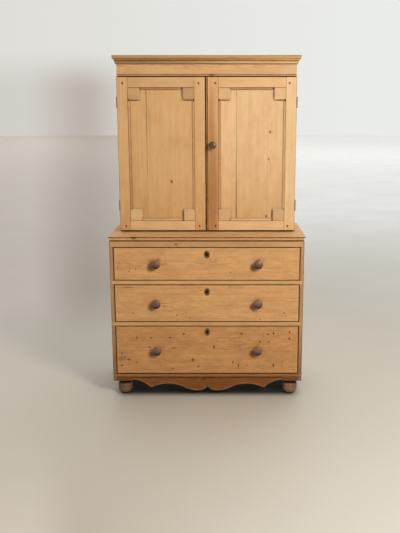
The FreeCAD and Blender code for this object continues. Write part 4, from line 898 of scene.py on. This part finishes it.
class PRESS_OT_metalwork(bpy.types.Operator):
    """Finish the hinges, bolt, locks and escutcheons, and drive their screws and pins"""
    bl_idname = "press.metalwork"
    bl_label = "Finish the metalwork"

    def execute(self, context):
        look = context.scene.press_metal
        dark = iron()
        yellow = brass([middle_mm(f"{name}_drawer_escutcheon").z for name in DRAWERS])
        for node in NODES:
            if "block" not in node and any(word in node for word in
                                           ("hinge", "bolt", "lock", "spindle")):
                finish(node, dark, 0.0002)
        wide = look.screw_wide
        small = wide * 0.75
        leaf = 0.058
        side_low, side_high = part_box("cupboard_side_right")
        for side, sign in (("left", -1), ("right", 1)):
            case, door = bmesh.new(), bmesh.new()
            low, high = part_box(f"{side}_door_hinge_leaves")
            tall = high.z - low.z
            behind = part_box(f"{side}_door_stiles")[1].y
            for base in (low.z, high.z - leaf):
                for number, share in enumerate((0.16, 0.5, 0.84)):
                    x = sign * (side_high.x - (0.0065 if number == 1 else 0.0105))
                    z = base + leaf * share
                    screw(case, (x, side_low.y, z), FORWARD, wide, 0.4 + number * 0.9 + tall)
                    screw(door, (x, behind, z), BACKWARD, wide, 1.1 + number * 0.7)
            piece(f"{side}_case_hinge_screws", case, dark, "case")
            piece(f"{side}_door_hinge_screws", door, dark, f"{side}_door")
        low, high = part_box("left_door_bolt_plate")
        bolt = bmesh.new()
        for x in (low.x + 0.0045, high.x - 0.0045):
            for z in (low.z + 0.008, high.z - 0.008):
                screw(bolt, (x, low.y + 0.002, z), BACKWARD, small, x * 40)
        piece("bolt_plate_screws", bolt, dark, "left_door")
        half = look.pin_wide / 2
        dome = [(0, half * 0.42), (half * 0.5, half * 0.36), (half * 0.85, half * 0.2), (half, 0)]
        for name in DRAWERS:
            drawer = f"{name}_drawer"
            low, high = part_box(f"{drawer}_lock")
            lock, pins = bmesh.new(), bmesh.new()
            for x in (low.x + 0.006, high.x - 0.006):
                for z in (low.z + 0.007, high.z - 0.012):
                    screw(lock, (x, high.y, z), BACKWARD, small, z * 90 + x * 60)
            piece(f"{drawer}_lock_screws", lock, dark, drawer)
            finish(f"{drawer}_escutcheon", yellow, 0.0)
            low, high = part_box(f"{drawer}_escutcheon")
            for z in (low.z + 0.0042, high.z - 0.0042):
                turned_head(pins, dome, ((low.x + high.x) / 2, low.y, z), FORWARD, 14)
            piece(f"{drawer}_escutcheon_pins", pins, yellow, drawer)
        return {"FINISHED"}


class PRESS_OT_nails(bpy.types.Operator):
    """Drive cut nails through the back boards, the shelf battens and the drawer bottoms"""
    bl_idname = "press.nails"
    bl_label = "Drive the nails"

    def execute(self, context):
        long = context.scene.press_metal.nail_long
        dark = bpy.data.materials["wrought_iron_dark"]
        heads, battens = bmesh.new(), bmesh.new()
        low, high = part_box("cupboard_back_boards")
        shelf_low, shelf_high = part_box("cupboard_shelves")
        board = (high.x - low.x) / 5
        # these were punched flush, so only the heads' tops show, a hair above the boards
        flush, large = high.y - NAIL_HIGH + 0.000005, long * 1.5
        shelf = 0.009
        for number in range(5):
            for share in (0.2, 0.8):
                x = low.x + board * (number + share)
                for row, z in enumerate((low.z + shelf, shelf_low.z + shelf, shelf_high.z - shelf,
                                         high.z - shelf)):
                    nail(heads, (x + 0.004 * sin(41 * x + row), flush, z), BACKWARD, large,
                         sin(17 * x + 5 * row) * 0.5)
        low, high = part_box("chest_back_boards")
        board = (high.z - low.z) / 4
        for number in range(4):
            for share in (0.22, 0.78):
                z = low.z + board * (number + share)
                for x in (low.x + 0.006, high.x - 0.006):
                    nail(heads, (x, flush, z + 0.005 * sin(90 * z + x)), BACKWARD, large,
                         sin(31 * z + 7 * x) * 0.5)
        piece("back_board_nails", heads, dark, "case")
        low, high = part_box("shelf_battens")
        thick, sunk = 0.018, 0.0007
        for z in (low.z + 0.0125, high.z - 0.0125):
            for y in (low.y + 0.03, (low.y + high.y) / 2, high.y - 0.03):
                for sign in (-1, 1):
                    nail(battens, (sign * (high.x - thick + sunk), y, z + 0.002 * sin(50 * y)),
                         (-sign, 0, 0), long, sin(70 * y + sign) * 0.6)
        piece("batten_nails", battens, dark, "case")
        for name in DRAWERS:
            low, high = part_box(f"{name}_drawer_bottom")
            under = bmesh.new()
            for number in range(6):
                x = low.x + 0.06 + (high.x - low.x - 0.12) * number / 5
                nail(under, (x, high.y - 0.006, low.z + sunk), (0, 0, -1), long, sin(23 * x) * 0.6)
            piece(f"{name}_drawer_bottom_nails", under, dark, f"{name}_drawer")
        return {"FINISHED"}


class PRESS_OT_stage(bpy.types.Operator):
    """Lay the pale floor, hang the lights and set the camera"""
    bl_idname = "press.stage"
    bl_label = "Set the stage"

    def execute(self, context):
        look, scene = context.scene.press_stage, context.scene
        self.lay_floor(look, scene)
        self.fill_room(look, scene)
        for name, place, aim, size, power, warmth in (
                ("key_light", (1.9, -2.9, 2.5), (0.1, -0.2, 1.0), 0.9, look.key_power,
                 (1, 0.95, 0.86)),
                ("fill_light", (-3.4, -2.2, 1.8), (0, 0, 1.0), 2.4, look.fill_power,
                 (1, 0.95, 0.9)),
                ("back_light", (8.0, 40.0, 20.0), (8.0, 30.0, 0), 44.0, look.back_power,
                 (1, 1, 1))):
            lamp = bpy.data.lights.new(name, "AREA")
            lamp.energy, lamp.size, lamp.color = power, size, warmth
            hung = bpy.data.objects.new(name, lamp)
            hung.location = place
            hung.visible_camera = False
            hung.rotation_euler = (Vector(aim) - Vector(place)).to_track_quat("-Z", "Y").to_euler()
            scene.collection.objects.link(hung)

        # a long lens at eye height, looking a little down; lengths in parts of a picture 533 high
        focal, picture, pitch = 719, 533, 11.822
        lens = bpy.data.cameras.new("camera")
        lens.sensor_width = 36.0
        lens.lens = lens.sensor_width * focal / picture
        lens.shift_x = -25 / picture
        lens.clip_end = 200
        camera = bpy.data.objects.new("camera", lens)
        camera.location = (0.098, -4.035, 1.532)
        camera.rotation_euler = (radians(90 - pitch), 0, 0)
        scene.collection.objects.link(camera)
        scene.camera = camera
        return {"FINISHED"}

    def lay_floor(self, look, scene):
        """A wide disc of plain matt plaster: almost even, with a faint cloudiness."""
        made = begin(bpy.data.materials.new("painted_plaster_floor"))
        place = in_mm()
        cloud = noise(place, (700, 700, 700), 3.0)
        # it pales away from the press towards the right, painted light standing in for a bright
        # wall, and darkens at the far left, painted shade standing in for a shaded wall, lighter
        # again at its edge
        out = length(place)
        axes = split(place)
        slant = maths("DIVIDE", axes[0], most(maths("ADD", axes[1], 4035), 1500))
        left = blend(swell(slant, -0.27, -0.17), look.floor_edge, look.floor_left)
        left = blend(swell(out, 700, 2800), look.floor, left)
        right = blend(swell(out, 20000, 42000), look.floor_far, linear("#DFE0DD"))
        right = blend(swell(out, 700, 9000), look.floor, right)
        colour = blend(swell(slant, -0.25, 0.1), left, right)
        colour = blend(swell(cloud, 0.3, 0.7, 0.0, 0.12), colour, linear("#BDB6AA"))
        # painted shadow: the floor under the press is darkened, as the press shades it
        aside, away = (maths("ABSOLUTE", at) for at in (axes[0], less(axes[1], 20)))
        under = times(swell(aside, 540, 440), swell(away, 290, 200))
        colour = blend(under, colour, look.shadow_under_press)
        surface(colour, rise(cloud, 0.1, 0.6), times(cloud, 0.2))
        disc = bmesh.new()
        bmesh.ops.create_circle(disc, cap_ends=True, segments=96, radius=55.0)
        data = bpy.data.meshes.new("floor")
        disc.to_mesh(data)
        disc.free()
        data.materials.append(made)
        floor = bpy.data.objects.new("floor", data)
        floor.location.z = -0.0002
        scene.collection.objects.link(floor)

    def fill_room(self, look, scene):
        """Even light from all round, brighter and cooler towards the right."""
        world = begin(bpy.data.worlds.new("soft_room"))
        way = split(add("TexCoord").outputs["Generated"])
        shaded = times(swell(way[0], -0.08, -0.2), swell(way[2], 0.09, 0.03),
                       swell(way[0], -0.27, -0.17, 0.3, 1.0))
        shade = blend(swell(way[0], -0.45, 0.35),
                      blend(shaded, look.air_left, look.air_low), look.air)
        bright = rise(swell(way[1], -0.05, 0.7), look.air_behind - look.air_front, look.air_front)
        bright = rise(swell(way[2], 0.35, 0.9), look.air_above, bright)
        before = times(swell(way[1], 0.0, -0.5), swell(way[2], 0.25, 0.0))
        bright = rise(before, look.air_low_front, bright)
        glow = add("Background", {"Color": shade, "Strength": bright})
        add("OutputWorld", {"Surface": glow.outputs[0]})
        scene.world = world
        scene.view_settings.view_transform = "Standard"


class PRESS_PT_panel(bpy.types.Panel):
    """Buttons for each part of the press"""
    bl_label = "Linen Press"
    bl_idname = "PRESS_PT_panel"
    bl_space_type = "VIEW_3D"
    bl_region_type = "UI"
    bl_category = "Linen Press"

    def draw(self, context):
        layout = self.layout
        for group in GROUPS:
            box = layout.box()
            settings = getattr(context.scene, group)
            for name in settings.bl_rna.properties.keys():
                if name not in ("rna_type", "name"):
                    box.prop(settings, name)
        for worker in WORKERS:
            layout.operator(worker.bl_idname)


GROUPS = {"press_pine": PineLook, "press_turnery": TurneryLook, "press_metal": MetalLook,
          "press_stage": StageLook}
WORKERS = (PRESS_OT_stage, PRESS_OT_chest, PRESS_OT_cupboard, PRESS_OT_mouldings, PRESS_OT_doors,
           PRESS_OT_drawers, PRESS_OT_turnery, PRESS_OT_metalwork, PRESS_OT_nails)


def register():
    for name, group in GROUPS.items():
        bpy.utils.register_class(group)
        setattr(bpy.types.Scene, name, PointerProperty(type=group))
    for worker in WORKERS + (PRESS_PT_panel,):
        bpy.utils.register_class(worker)


def unregister():
    for worker in (PRESS_PT_panel,) + WORKERS[::-1]:
        bpy.utils.unregister_class(worker)
    for name, group in GROUPS.items():
        delattr(bpy.types.Scene, name)
        bpy.utils.unregister_class(group)


def main():
    register()
    for worker in WORKERS:
        group, name = worker.bl_idname.split(".")
        getattr(getattr(bpy.ops, group), name)()


if __name__ == "__main__":
    main()
